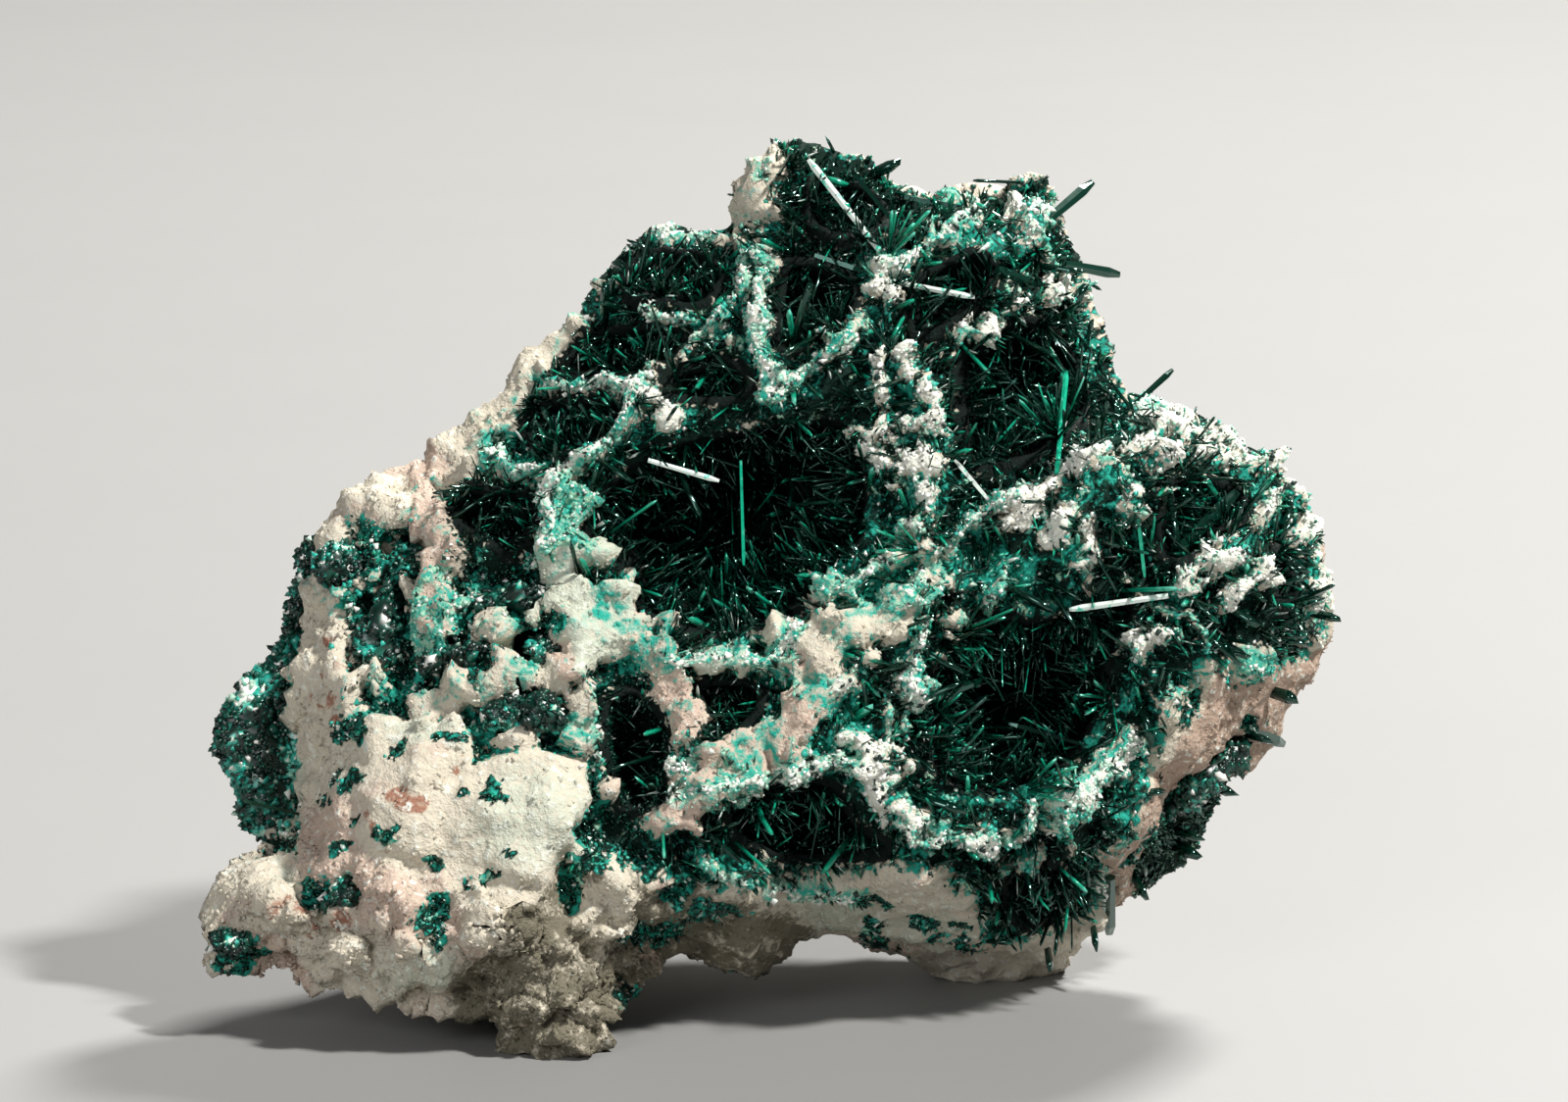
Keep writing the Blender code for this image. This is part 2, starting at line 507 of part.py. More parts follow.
def sheath(bm, crystal):
    """The space that a long crystal and the gap around it take from the rock and the beds."""
    root, axis, flat, thick = crystal_frame(crystal)
    wide = (crystal.width / 2 + GAP) * MM * math.sqrt(2)
    ends = GAP * MM / axis.length
    prism(bm, root, axis, flat, thick, ((-ends, wide, wide), (1 + ends, wide, wide)), 4)


def place(name, bm, stance, material):
    """Turns a bmesh into an object that stands with the others."""
    mesh = bpy.data.meshes.new(name)
    bm.to_mesh(mesh)
    bm.free()
    mesh.materials.append(material)
    obj = bpy.data.objects.new(name, mesh)
    bpy.context.scene.collection.objects.link(obj)
    obj.parent = stance
    return obj


def helper(name, bm, stance, material):
    """An object that only cuts or joins, and isn't part of the specimen."""
    obj = place(name, bm, stance, material)
    obj.hide_render = True
    obj.display_type = "WIRE"
    return obj


def combine(obj, other, operation, solver):
    """Adds a Boolean with another object, which may be made of several closed bodies."""
    modifier = obj.modifiers.new(other.name, "BOOLEAN")
    modifier.object = other
    modifier.operation = operation
    modifier.solver = solver


def without_chips(obj):
    """Applies an object's cuts and drops the loose chips that they leave, so that one body remains."""
    bpy.context.view_layer.update()
    bm = bmesh.new()
    bm.from_object(obj, bpy.context.evaluated_depsgraph_get())
    bmesh.ops.triangulate(bm, faces=bm.faces)
    left = set(bm.faces)
    bodies = []
    while left:
        body = {left.pop()}
        edge = list(body)
        while edge:
            near = {f for e in edge.pop().edges for f in e.link_faces} & left
            left -= near
            body |= near
            edge += near
        bodies.append(body)
    largest = max(bodies, key=len)
    bmesh.ops.delete(bm, geom=[f for f in bm.faces if f not in largest], context="FACES")
    obj.modifiers.clear()
    bm.to_mesh(obj.data)
    bm.free()
    return obj


def floor_block(stance, material):
    """The space under the specimen, level with the ground and not with the face."""
    bm = bmesh.new()
    bmesh.ops.create_cube(bm, size=1.0)
    block = helper("floor_block", bm, stance, material)
    block.scale = [side * MM for side in FLOOR_BLOCK]
    lean = math.radians(LEAN)
    block.rotation_euler.x = lean
    contact = local(0, 0, FRONT_FOOT_OUT)
    down = Matrix.Rotation(lean, 3, "X") @ Vector((0, 0, -1))
    block.location = contact + down * block.scale.z / 2
    return block


def make_rock(stance, material):
    """The rock: its blank and feet joined, cut level below, and hollowed for the pockets and crusts."""
    rock = place("matrix_rock", rock_blank(), stance, material)
    feet = bmesh.new()
    for foot in FEET:
        foot_knob(feet, foot)
    bmesh.ops.recalc_face_normals(feet, faces=feet.faces)
    combine(rock, helper("feet", feet, stance, material), "UNION", "MANIFOLD")
    combine(rock, floor_block(stance, material), "DIFFERENCE", "MANIFOLD")
    mouths, seats, slots = bmesh.new(), bmesh.new(), bmesh.new()
    for pocket in POCKETS:
        pocket_cutter(mouths, pocket)
    for crust in CRUSTS:
        cake(seats, crust, GAP)
    for crystal in CRYSTALS:
        sheath(slots, crystal)
    for name, cutter in (("mouths", mouths), ("seats", seats), ("slots", slots)):
        bmesh.ops.recalc_face_normals(cutter, faces=cutter.faces)
        combine(rock, helper(name, cutter, stance, material), "DIFFERENCE", "MANIFOLD")
    return without_chips(rock)


def make_green(stance, material):
    """The beds and crusts, each with room left in it for the long crystals that pass through."""
    pieces = [place("bed_" + p.name, pocket_bed(p), stance, material) for p in POCKETS]
    pieces += [place("crust_" + c.name, crust_piece(c), stance, material) for c in CRUSTS]
    sheaths = bmesh.new()
    for crystal in CRYSTALS:
        sheath(sheaths, crystal)
    bmesh.ops.recalc_face_normals(sheaths, faces=sheaths.faces)
    cutter = helper("sheaths", sheaths, stance, material)
    for piece in pieces:
        combine(piece, cutter, "DIFFERENCE", "EXACT")
    return [without_chips(piece) for piece in pieces]


def centre_on_origin(stance, pieces):
    """Moves the specimen so that the middle of its base is at the origin, with the ground at zero."""
    bpy.context.view_layer.update()
    graph = bpy.context.evaluated_depsgraph_get()
    corners = []
    for piece in pieces:
        shown = piece.evaluated_get(graph)
        corners += [shown.matrix_world @ vert.co for vert in shown.data.vertices]
    for axis in (0, 1):
        low, high = min(c[axis] for c in corners), max(c[axis] for c in corners)
        stance.location[axis] -= (low + high) / 2


def main():
    """Builds the rock, the beds, the crusts and the long crystals."""
    clear_scene()
    rock_look, bed_look, crystal_look = (
        finish(*look) for look in (ROCK_FINISH, BED_FINISH, CRYSTAL_FINISH))
    stance = bpy.data.objects.new("stance", None)
    bpy.context.scene.collection.objects.link(stance)
    lean = math.radians(LEAN)
    stance.rotation_euler.x = -lean
    stance.location.z = -FRONT_FOOT_OUT * math.sin(lean) * MM
    pieces = [make_rock(stance, rock_look)]
    pieces += make_green(stance, bed_look)
    pieces += [place("crystal_" + c.name, crystal_piece(c), stance, crystal_look) for c in CRYSTALS]
    centre_on_origin(stance, pieces)


main()
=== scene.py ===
"""Brochantite specimen on pale rock: its visible surfaces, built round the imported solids.

Places on the specimen's face are in millimetres: across (u, to the right), up (v) and out (towards the
person who looks at it). FaceFrame turns them into the row frame, which is in metres.
"""

import logging
import math
from dataclasses import dataclass, field, replace
from enum import Enum

import bmesh
import bpy
import numpy as np
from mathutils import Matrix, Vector
from mathutils.bvhtree import BVHTree


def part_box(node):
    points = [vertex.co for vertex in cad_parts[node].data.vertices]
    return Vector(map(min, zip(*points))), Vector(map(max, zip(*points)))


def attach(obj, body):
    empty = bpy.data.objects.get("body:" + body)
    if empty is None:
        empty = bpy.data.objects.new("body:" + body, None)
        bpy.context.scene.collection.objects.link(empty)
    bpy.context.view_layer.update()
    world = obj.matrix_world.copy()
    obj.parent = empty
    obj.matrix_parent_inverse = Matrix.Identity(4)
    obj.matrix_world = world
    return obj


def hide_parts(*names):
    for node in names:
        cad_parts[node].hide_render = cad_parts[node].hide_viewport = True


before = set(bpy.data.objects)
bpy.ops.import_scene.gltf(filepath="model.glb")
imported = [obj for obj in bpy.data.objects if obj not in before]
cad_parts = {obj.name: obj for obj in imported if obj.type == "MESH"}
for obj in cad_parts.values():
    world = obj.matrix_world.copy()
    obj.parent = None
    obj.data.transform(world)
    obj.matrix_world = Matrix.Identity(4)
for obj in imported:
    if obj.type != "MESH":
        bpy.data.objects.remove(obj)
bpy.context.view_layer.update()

logging.basicConfig(level=logging.INFO, format="%(message)s")
LOG = logging.getLogger("specimen")

Array = np.ndarray
Colour = tuple[float, float, float]
Socket = bpy.types.NodeSocket

MM = 0.001
BODY = "root"
TINY = 1e-9
# How strong each finer layer of noise is, as a share of the one before it.
FINER_SHARE = 0.55
SAME_POINT_MM = 0.001
# A pocket's wall is this near its bed, and fades out over the edge's width.
BED_GAP_MM = 0.55
POCKET_EDGE_MM = 0.5
POCKET_REACH_MM = 1.2


class Kind(Enum):
    """What covers a ridge of the rock."""

    SUGAR = "white grains"
    TURQUOISE = "turquoise crust with a pale core"
    CREAM = "bare cream rock"
    PINK = "bare pink rock"
    MINT = "bare pale green rock"


@dataclass(frozen=True)
class FaceFrame:
    """The frame of the specimen's leaning face.

    Attributes:
        lean_deg: how far the face leans back.
        origin: the face frame's origin in the row frame, in millimetres.
    """

    lean_deg: float = 12.0
    origin: tuple[float, float, float] = (-0.311, -9.317, -1.871)

    def axes(self) -> Array:
        """The directions of across, up and out in the row frame, as rows."""
        s, c = math.sin(math.radians(self.lean_deg)), math.cos(math.radians(self.lean_deg))
        return np.array([[1, 0, 0], [0, s, c], [0, -c, s]])

    def to_face(self, points: Array) -> Array:
        """Turns row-frame points in metres into face places in millimetres."""
        return (points / MM - np.array(self.origin)) @ self.axes().T

    def to_row(self, places: Array) -> Array:
        """Turns face places in millimetres into row-frame points in metres."""
        return (places @ self.axes() + np.array(self.origin)) * MM


FACE = FaceFrame()


def smooth(low: float, high: float, values: Array) -> Array:
    """A smooth step from 0 at low to 1 at high; high may be the smaller one."""
    t = np.clip((values - low) / (high - low), 0, 1)
    return t * t * (3 - 2 * t)


@dataclass(frozen=True)
class Noise:
    """Repeatable noise over places in millimetres.

    Attributes:
        seed: a number that tells one field from another.
    """

    seed: int

    def _hash(self, cell: Array, salt: int) -> Array:
        """Mixes each cell's whole numbers into one that looks random.

        Args:
            cell: the whole-numbered cells.
            salt: a number that tells one use of the field from another.

        Returns:
            A number from 0 to 1 for each cell.
        """
        n = cell.astype(np.int64)
        h = n[..., 0] * 374761393 + n[..., 1] * 668265263 + n[..., 2] * 2147483647
        h = (h + (self.seed * 31 + salt) * 1274126177) & 0xFFFFFFFF
        h = ((h ^ (h >> 13)) * 1274126177) & 0xFFFFFFFF
        h = ((h ^ (h >> 15)) * 2246822519) & 0xFFFFFFFF
        return ((h ^ (h >> 16)) & 0xFFFFFF) / float(0xFFFFFF)

    def value(self, places: Array, size: float, salt: int = 0) -> Array:
        """Smooth noise.

        Args:
            places: where it is read.
            size: how wide its features are, in millimetres.
            salt: a number that tells one use of the field from another.

        Returns:
            A number from -1 to 1 for each place.
        """
        scaled = places / size
        cell = np.floor(scaled)
        t = scaled - cell
        t = t * t * (3 - 2 * t)
        total = np.zeros(len(places))
        for corner in np.ndindex(2, 2, 2):
            step = np.array(corner)
            weight = np.prod(np.where(step, t, 1 - t), axis=1)
            total += weight * self._hash(cell + step, salt)
        return 2 * total - 1

    def layered(self, places: Array, size: float, octaves: int, salt: int = 0) -> Array:
        """Noise of several sizes, each half as wide and a little over half as strong as the last.

        Args:
            places: where it is read.
            size: how wide the largest features are, in millimetres.
            octaves: how many sizes there are.
            salt: a number that tells one use of the field from another.

        Returns:
            The sum for each place, within about -2 to 2.
        """
        total = np.zeros(len(places))
        for octave in range(octaves):
            total += FINER_SHARE**octave * self.value(places, size / 2**octave, salt + octave)
        return total

    def wander(self, places: Array, size: float, octaves: int, salt: int) -> Array:
        """How far an edge strays across and up at each place: two layered noises side by side."""
        return np.stack([self.layered(places, size, octaves, salt + 5 * axis) for axis in range(2)], axis=1)

    def direction(self, places: Array, size: float) -> Array:
        """A smoothly varying vector at each place, with parts from -1 to 1."""
        return np.stack([self.value(places, size, 11 + axis) for axis in range(3)], axis=1)

    def creases(self, places: Array, size: float) -> Array:
        """Sharp-edged facets about size millimetres wide, from -1 in the cracks to 1 on the edges."""
        large, half = self.value(places, size, 60), self.value(places, size / 2, 61)
        return 1 - 2 * np.abs(large) - 0.8 * np.abs(half)

    def lumps(self, places: Array, size: float) -> Array:
        """Rounded knobs, one about a point in each cell.

        Args:
            places: where they are read.
            size: how far apart the knobs are, in millimetres.

        Returns:
            1 on top of a knob, and 0 or less between them, for each place.
        """
        scaled = places / size
        cell = np.floor(scaled)
        nearest = np.full(len(places), 9.0)
        for corner in np.ndindex(3, 3, 3):
            near = cell + np.array(corner) - 1
            centre = near + np.stack([self._hash(near, 3 + axis) for axis in range(3)], axis=1)
            nearest = np.minimum(nearest, np.sum((scaled - centre) ** 2, axis=1))
        return 1 - 1.6 * nearest


def gap_to_line(uv: Array, start: tuple[float, float], end: tuple[float, float]) -> Array:
    """How far places are from a straight line.

    Args:
        uv: the places, across and up.
        start: one end of the line.
        end: the other.

    Returns:
        The distance of each place from the nearest point of the line, in millimetres.
    """
    a, b = np.array(start), np.array(end)
    along = np.clip(((uv - a) @ (b - a)) / ((b - a) @ (b - a)), 0, 1)
    return np.hypot(*(uv - a - along[:, None] * (b - a)).T)


@dataclass(frozen=True)
class Ridge:
    """A thin wall or rib that runs over the face.

    Attributes:
        points: its line on the face, in millimetres.
        half_width: half its width.
        kind: what covers it.
        height: how far it stands out of the ground beside it.
    """

    points: tuple[tuple[float, float], ...]
    half_width: float
    kind: Kind
    height: float = 0.8

    def distance(self, uv: Array) -> Array:
        """How far each place is from the ridge's line, in half widths."""
        gaps = [gap_to_line(uv, start, end) for start, end in zip(self.points, self.points[1:])]
        return np.minimum.reduce(gaps) / self.half_width


@dataclass(frozen=True)
class Spot:
    """An oval patch on the face.

    Attributes:
        centre: its middle, in millimetres.
        half: its half sizes.
        turn_deg: the angle of its first half size.
    """

    centre: tuple[float, float]
    half: tuple[float, float]
    turn_deg: float = 0.0

    def distance(self, uv: Array) -> Array:
        """How far places are from the middle.

        Args:
            uv: the places, across and up.

        Returns:
            The distance of each in half sizes, which is 1 on the patch's edge.
        """
        turn = math.radians(self.turn_deg)
        d = uv - np.array(self.centre)
        x = (d[:, 0] * math.cos(turn) + d[:, 1] * math.sin(turn)) / self.half[0]
        y = (d[:, 1] * math.cos(turn) - d[:, 0] * math.sin(turn)) / self.half[1]
        return np.hypot(x, y)

    def share(self, uv: Array) -> Array:
        """1 inside the patch and 0 outside it, with a soft edge."""
        return smooth(1.25, 0.8, self.distance(uv))


@dataclass(frozen=True)
class Swell:
    """A knob or a hollow of the rock's face.

    Attributes:
        spot: where it is.
        height: how far it stands out, in millimetres; a hollow's is negative.
    """

    spot: Spot
    height: float


def ridges(kind: Kind, *rows: tuple[float, ...]) -> list[Ridge]:
    """Makes ridges of one kind from rows of half a width, a height and the points of a line."""
    return [Ridge(tuple(zip(row[2::2], row[3::2])), row[0], kind, row[1]) for row in rows]


def spots(*rows: tuple[float, ...]) -> tuple[Spot, ...]:
    """Makes spots from rows of a middle, two half sizes and, for some, an angle."""
    return tuple(Spot(row[:2], row[2:4], *row[4:]) for row in rows)


def swells(*rows: tuple[float, ...]) -> tuple[Swell, ...]:
    """Makes swells from rows of a height and the numbers of a spot."""
    return tuple(Swell(*spots(row[1:]), row[0]) for row in rows)


@dataclass(frozen=True)
class Region:
    """A many-sided part of the face.

    Attributes:
        corners: its outline, in millimetres.
        edge: how wide its soft edge is.
    """

    corners: tuple[tuple[float, float], ...]
    edge: float = 0.8

    def share(self, uv: Array) -> Array:
        """How much places are inside the region.

        Args:
            uv: the places, across and up.

        Returns:
            1 well inside it and 0 outside it, with a step as wide as its soft edge.
        """
        inside = np.zeros(len(uv), bool)
        near = np.full(len(uv), np.inf)
        for start, end in zip(self.corners, self.corners[1:] + self.corners[:1]):
            (left, low), (right, high) = start, end
            crosses = (low > uv[:, 1]) != (high > uv[:, 1])
            rise = high - low if abs(high - low) > TINY else TINY
            inside ^= crosses & (uv[:, 0] < left + (uv[:, 1] - low) / rise * (right - left))
            near = np.minimum(near, gap_to_line(uv, start, end))
        return smooth(-self.edge, self.edge, np.where(inside, near, -near))


# The part of the face that green crystals cover.
GREEN_REGION = Region((
    (-20.8, 36.8), (-17.2, 41.4), (-14.2, 45.2), (-12.2, 47.6), (-12.2, 56.0), (-3.4, 55.4), (-2.6, 54.4),
    (0.4, 59.6), (1.0, 62.5), (9.0, 62.0), (12.0, 59.4), (16.0, 60.5), (19.8, 60.0), (22.6, 53.0),
    (24.0, 46.0), (27.2, 43.0), (33.4, 38.8),
    (37.0, 32.0), (37.0, 27.2), (33.6, 25.4), (28.6, 24.6), (25.2, 19.4), (22.2, 12.6), (22.6, 8.6),
    (18.6, 5.4), (14.6, 6.6), (14.0, 10.0), (10.0, 12.6), (3.0, 11.2), (-3.0, 10.2), (-6.4, 12.0),
    (-12.0, 13.6), (-12.2, 19.6), (-19.4, 19.4), (-20.2, 23.4), (-23.0, 22.0), (-26.6, 22.0),
    (-27.6, 29.4), (-29.6, 31.0), (-26.8, 34.4), (-23.6, 34.2), (-23.4, 36.0)))
# The strip of green crystals down the left edge.
EDGE_REGION = Region(((-40, 12.6), (-30.6, 12.8), (-30.2, 20.0), (-31.2, 27.4), (-40, 27.6)))
# The bare brown wall under the right rim.
WALL_REGION = Region((
    (21.4, 12.4), (25.0, 18.6), (29.0, 24.4), (33.2, 26.6), (35.8, 28.4), (40.0, 27.0), (36.0, 16.0),
    (27.0, 8.0), (22.6, 9.0)))
# The left part of the face, where crystals stay short.
GRAINY_REGION = Region((
    (-40, 12), (-11, 12), (-6.4, 15.0), (-6.2, 22.6), (-9.6, 26.0), (-14.4, 31.4), (-16.4, 33.6),
    (-22.6, 34.0), (-24, 38), (-40, 38)), 1.2)
# The band of crystals below that wall, and the line of them along the bottom edge.
BAND_REGION = Region((
    (22.2, 8.0), (23.6, 10.6), (24.8, 13.2), (26.2, 15.6), (28.6, 17.4), (31.6, 18.6), (31.6, 14.0),
    (26.0, 8.0)), 0.4)
FRINGE = Ridge(
    ((5.4, 7.4), (9.6, 6.5), (11.4, 5.7), (13.8, 5.0), (18.2, 4.9), (19.8, 6.0)), 0.5, Kind.TURQUOISE)
# The front left foot, and the rock under the ledge beside it, which are darkened with painted shade.
FOOT_REGION = Region((
    (-21.0, -2), (-20.4, 6.6), (-17.4, 8.6), (-13.6, 11.8), (-11.4, 13.2), (-10.6, 11.4), (-12.2, 9.6),
    (-10.6, 7.2), (-8.4, 6.6), (-7.0, -2)), 1.0)
UNDER_REGION = Region((
    (-9.6, 12.0), (-7.0, 11.4), (-2.2, 10.4), (1.5, 9.3), (3.4, 8.4), (2.2, 5.0), (-3.0, 1.5),
    (-9.6, 0.5)), 0.8)

# The thin walls between the pockets, the veins beside them and the ribs of bare rock.
RIDGES = (
    *ridges(
        Kind.SUGAR, (0.8, 0.8, -7.4, 41.9, -5.9, 40.9), (0.6, 1.3, 7.0, 50.8, 6.6, 47, 7.2, 44.5, 7.6, 42),
        (0.9, 1.4, 9.0, 44.6, 10.2, 41, 10.8, 39, 10.6, 37, 9.6, 34),
        (1.4, 1.1, 8.4, 40.6, 8.2, 38.6, 9.8, 37.4), (0.9, 1.0, 4.6, 22.2, 6.0, 24.2),
        (0.9, 1.2, 5.4, 20.2, 7.4, 19.2, 8.3, 16.2),
        (1.3, 1.2, 17, 35.4, 20, 36.6, 24, 38.6, 27, 40.4, 29.6, 40.6),
        (0.8, 1.0, 23.0, 36.6, 26.0, 39.0, 29.6, 39.2, 32, 38.4),
        (1.4, 1.0, 18.4, 33.8, 20.6, 33.4, 22.8, 35.2), (0.9, 0.9, 19.6, 33.0, 19.8, 30.6),
        (0.8, 1.0, 29, 39.6, 32, 38.8, 33.4, 36.6, 35, 34.5, 35.9, 32, 35.9, 28),
        (1.0, 1.4, 23.9, 26.4, 26.4, 29.0, 28.8, 31.4, 31.2, 34.0, 32.6, 36.6),
        (0.5, 0.9, 27.6, 27.0, 29.8, 29.6, 32.2, 32.0), (0.9, 1.0, 14.2, 52.2, 16.2, 54.4, 17.4, 57.4),
        (0.8, 0.9, 15.0, 47.8, 16.8, 48.0), (0.35, 0.4, 9.6, 48.6, 12.0, 48.2, 14.2, 46.8),
        (0.4, 0.5, 15.4, 50.8, 18.0, 50.4, 20.2, 49.2)),
    *ridges(
        Kind.TURQUOISE, (0.5, 1.3, -0.9, 54.5, 0, 52.5, -0.4, 50, -0.7, 46, 0.3, 42.8),
        (0.4, 1.1, -1, 51.8, -3, 47.5, -5.5, 45.4, -7.2, 44, -8.6, 42.6),
        (0.45, 1.3, -8.2, 42.2, -10.2, 39.4, -12.5, 37.7, -13.8, 35.5, -14.2, 32.6),
        (0.4, 1.0, 0.3, 43.2, 2.5, 44.3, 6.2, 46.2),
        (0.4, 1.1, 7.4, 51.5, 9, 51.7, 10.2, 52.7, 12.5, 53.6, 13.8, 55.2),
        (0.45, 0.9, -18.6, 38.8, -16.5, 37.5, -13, 37.5), (0.35, 0.8, -13.6, 43.2, -10.4, 43.0, -7.6, 42.6),
        (0.3, 0.7, -11.4, 48.3, -8, 48.2, -5, 47.6), (0.3, 0.6, -3.2, 53.8, -6.4, 53.9, -10.6, 54.2),
        (0.5, 0.9, -10.7, 54.2, -11.2, 51.5, -11.8, 48.2),
        (0.5, 1.0, -6, 25.2, -2.5, 25.6, 0, 25.4, 1.6, 26.2, 2.4, 27.5), (0.8, 0.8, -7.2, 18.8, -4.6, 18.4),
        (0.45, 0.9, -6.4, 16.6, -2.0, 17.0, 1.6, 18.2, 5.0, 18.4),
        (0.4, 0.8, 4, 29.2, 6.5, 31.2, 9.2, 34.2), (0.5, 1.2, 9, 30, 11.5, 32.3, 13, 34.5, 15.4, 36.2),
        (0.7, 1.0, 23.8, 41.0, 26.2, 43.6), (0.7, 1.0, 17.6, 54.2, 18.6, 56.6),
        (0.45, 0.8, -4, 12.5, -1, 10.9, 6, 10.9), (0.8, 1.2, 9.6, 13.6, 13.0, 14.2, 16.8, 13.6),
        (1.1, 1.0, 17.6, 15.4, 20.6, 17.6, 23.4, 20.8), (0.7, 0.8, 23.4, 21.0, 24.2, 23.6, 23.8, 26.0),
        (0.45, 0.8, 14.2, 6.9, 19, 6.4, 21.4, 8.6, 21.9, 11.2),
        (0.4, 0.8, 8.6, 20.4, 9.2, 24.6, 10.2, 28.4)),
    *ridges(
        Kind.CREAM, (0.6, 0.7, -12, 47.5, -14.5, 45.3, -16.5, 43, -18, 41, -20, 39.2),
        (0.7, 0.9, 0.2, 59.4, -0.3, 57.5, -1.2, 56, -1.9, 54.2),
        (1.35, 1.0, 2.6, 22.4, 3.3, 24.7, 4.6, 27.0, 7.8, 28.2),
        (0.9, 0.8, -26.6, 36.6, -24.4, 35.2, -22.4, 35.8),
        (0.7, 1.0, -17.6, 27.2, -16.6, 24.8, -19, 23.2, -22.6, 22.8),
        (1.3, 0.6, -30.2, 20.6, -28.8, 25, -28.8, 29.4), (0.5, 0.6, -12.0, 19.8, -11.8, 22.6)),
    *ridges(
        Kind.PINK, (1.1, 0.9, -12.4, 29.6, -10.4, 28.0, -8.4, 26.6, -6.2, 24.2, -5.6, 21.4),
        (1.3, 1.0, -5.2, 16.6, -3.2, 17.9, -1.4, 19.2, 1.6, 21.3, 2.6, 22.6),
        (0.9, 1.1, -22.5, 37, -21, 33, -22, 29, -21.4, 27.4), (0.6, 0.8, -13.0, 24.4, -12.6, 27.4)),
    *ridges(
        Kind.MINT, (0.8, 0.8, -4.2, 25.2, -2.0, 25.4), (1.4, 1.1, -13.2, 30.4, -11.4, 28.6, -10.2, 26.4)))
# Small patches of green crystals on the bare rock.
PITS = spots(
    (-26.7, 17.3, 0.8, 0.6), (-28, 16, 0.5, 0.4), (-27, 13, 0.6, 0.5), (-26.5, 15, 0.4, 0.3),
    (-24, 14, 0.6, 0.5), (-21, 12.5, 0.8, 0.6), (-19.3, 16.8, 0.5, 0.4), (-17.5, 16.7, 0.7, 0.5),
    (-20.8, 20.3, 0.9, 0.6), (-28.2, 10.5, 2.3, 1.2, 20), (-21.2, 8.8, 1.0, 1.7), (-16.5, 13.3, 0.4, 0.3),
    (-17.5, 11.5, 0.5, 0.4), (-19.3, 10.7, 0.4, 0.4), (-34, 6.5, 1.7, 0.8, 10), (-26.2, 21.0, 0.9, 1.4),
    (-23.8, 19.4, 0.5, 0.7), (10.0, 8.7, 1.2, 0.6), (13.5, 7.7, 0.8, 0.5), (31.2, 21.6, 0.8, 0.5),
    (25.0, 14.6, 1.6, 0.6, 55), (-12.6, 10.6, 0.9, 2.0, 15), (-7.6, 7.4, 2.4, 0.9), (-3.4, 8.6, 2.2, 0.8),
    (6.7, 10.0, 1.3, 0.5), (6.8, 8.3, 0.9, 0.4), (12.4, 8.3, 0.7, 0.4), (-11.6, 12.8, 1.1, 0.8),
    (-5.4, 10.4, 1.8, 0.9), (-8.4, 12.4, 1.2, 0.7), (27.4, 22.4, 0.5, 0.9, -30), (29.6, 24.2, 0.4, 0.3),
    (23.8, 12.6, 0.6, 0.4), (31.6, 24.6, 0.9, 0.4, 30), (25.6, 18.0, 0.3, 0.4), (33.4, 22.4, 0.4, 0.8, -30))
# Rusty stains.
RUST = spots(
    (-26.6, 21, 0.9, 0.9), (-19.5, 19.5, 0.8, 0.6), (-20, 18.2, 0.7, 0.8), (-23, 16, 1.5, 0.9),
    (-22, 14, 1.0, 0.7), (-25.5, 13.7, 1.2, 1.6), (-29.5, 8.6, 3.0, 1.2), (11.5, 12, 0.5, 0.5),
    (-27.8, 24.5, 1.2, 2.4))
# Where more turquoise shows among the crystals.
GLOWS = spots(
    (-7.7, 19.5, 4.0, 4.5), (15.7, 22.5, 8.0, 6.0), (-14.8, 40.0, 4.0, 5.0), (-1.8, 48.0, 4.0, 5.0),
    (12.5, 31.0, 4.5, 3.5), (22.5, 18.6, 3.0, 4.0), (-5.0, 25.7, 4.5, 2.4), (-14.0, 29.8, 4.0, 3.5),
    (-22.5, 29.6, 5.0, 6.0), (7.6, 30.6, 3.5, 3.0), (-15.5, 22.0, 5.0, 3.0), (21.5, 44.0, 3.0, 3.0),
    (-5.5, 17.2, 4.6, 4.2), (4.0, 21.5, 6.0, 5.6), (-0.6, 26.4, 5.0, 1.6), (8.2, 13.8, 4.6, 2.4),
    (-10.4, 24.6, 3.0, 3.4), (14.0, 50.6, 4.4, 3.6))
# Where the bare rock is pale green.
MINTS = spots(
    (-15, 15, 5.0, 4.2), (-30.4, 18.6, 1.2, 4.0), (-12, 28.4, 2.0, 2.6), (-31.0, 11.4, 1.6, 1.2),
    (-21.5, 6.0, 3.4, 1.8), (4.0, 9.0, 4.0, 1.6), (-22.0, 21.0, 3.0, 1.6), (-12.6, 13.6, 3.4, 1.8),
    (-0.6, 19.6, 2.4, 1.0, 35), (11.5, 8.5, 4.6, 2.2))
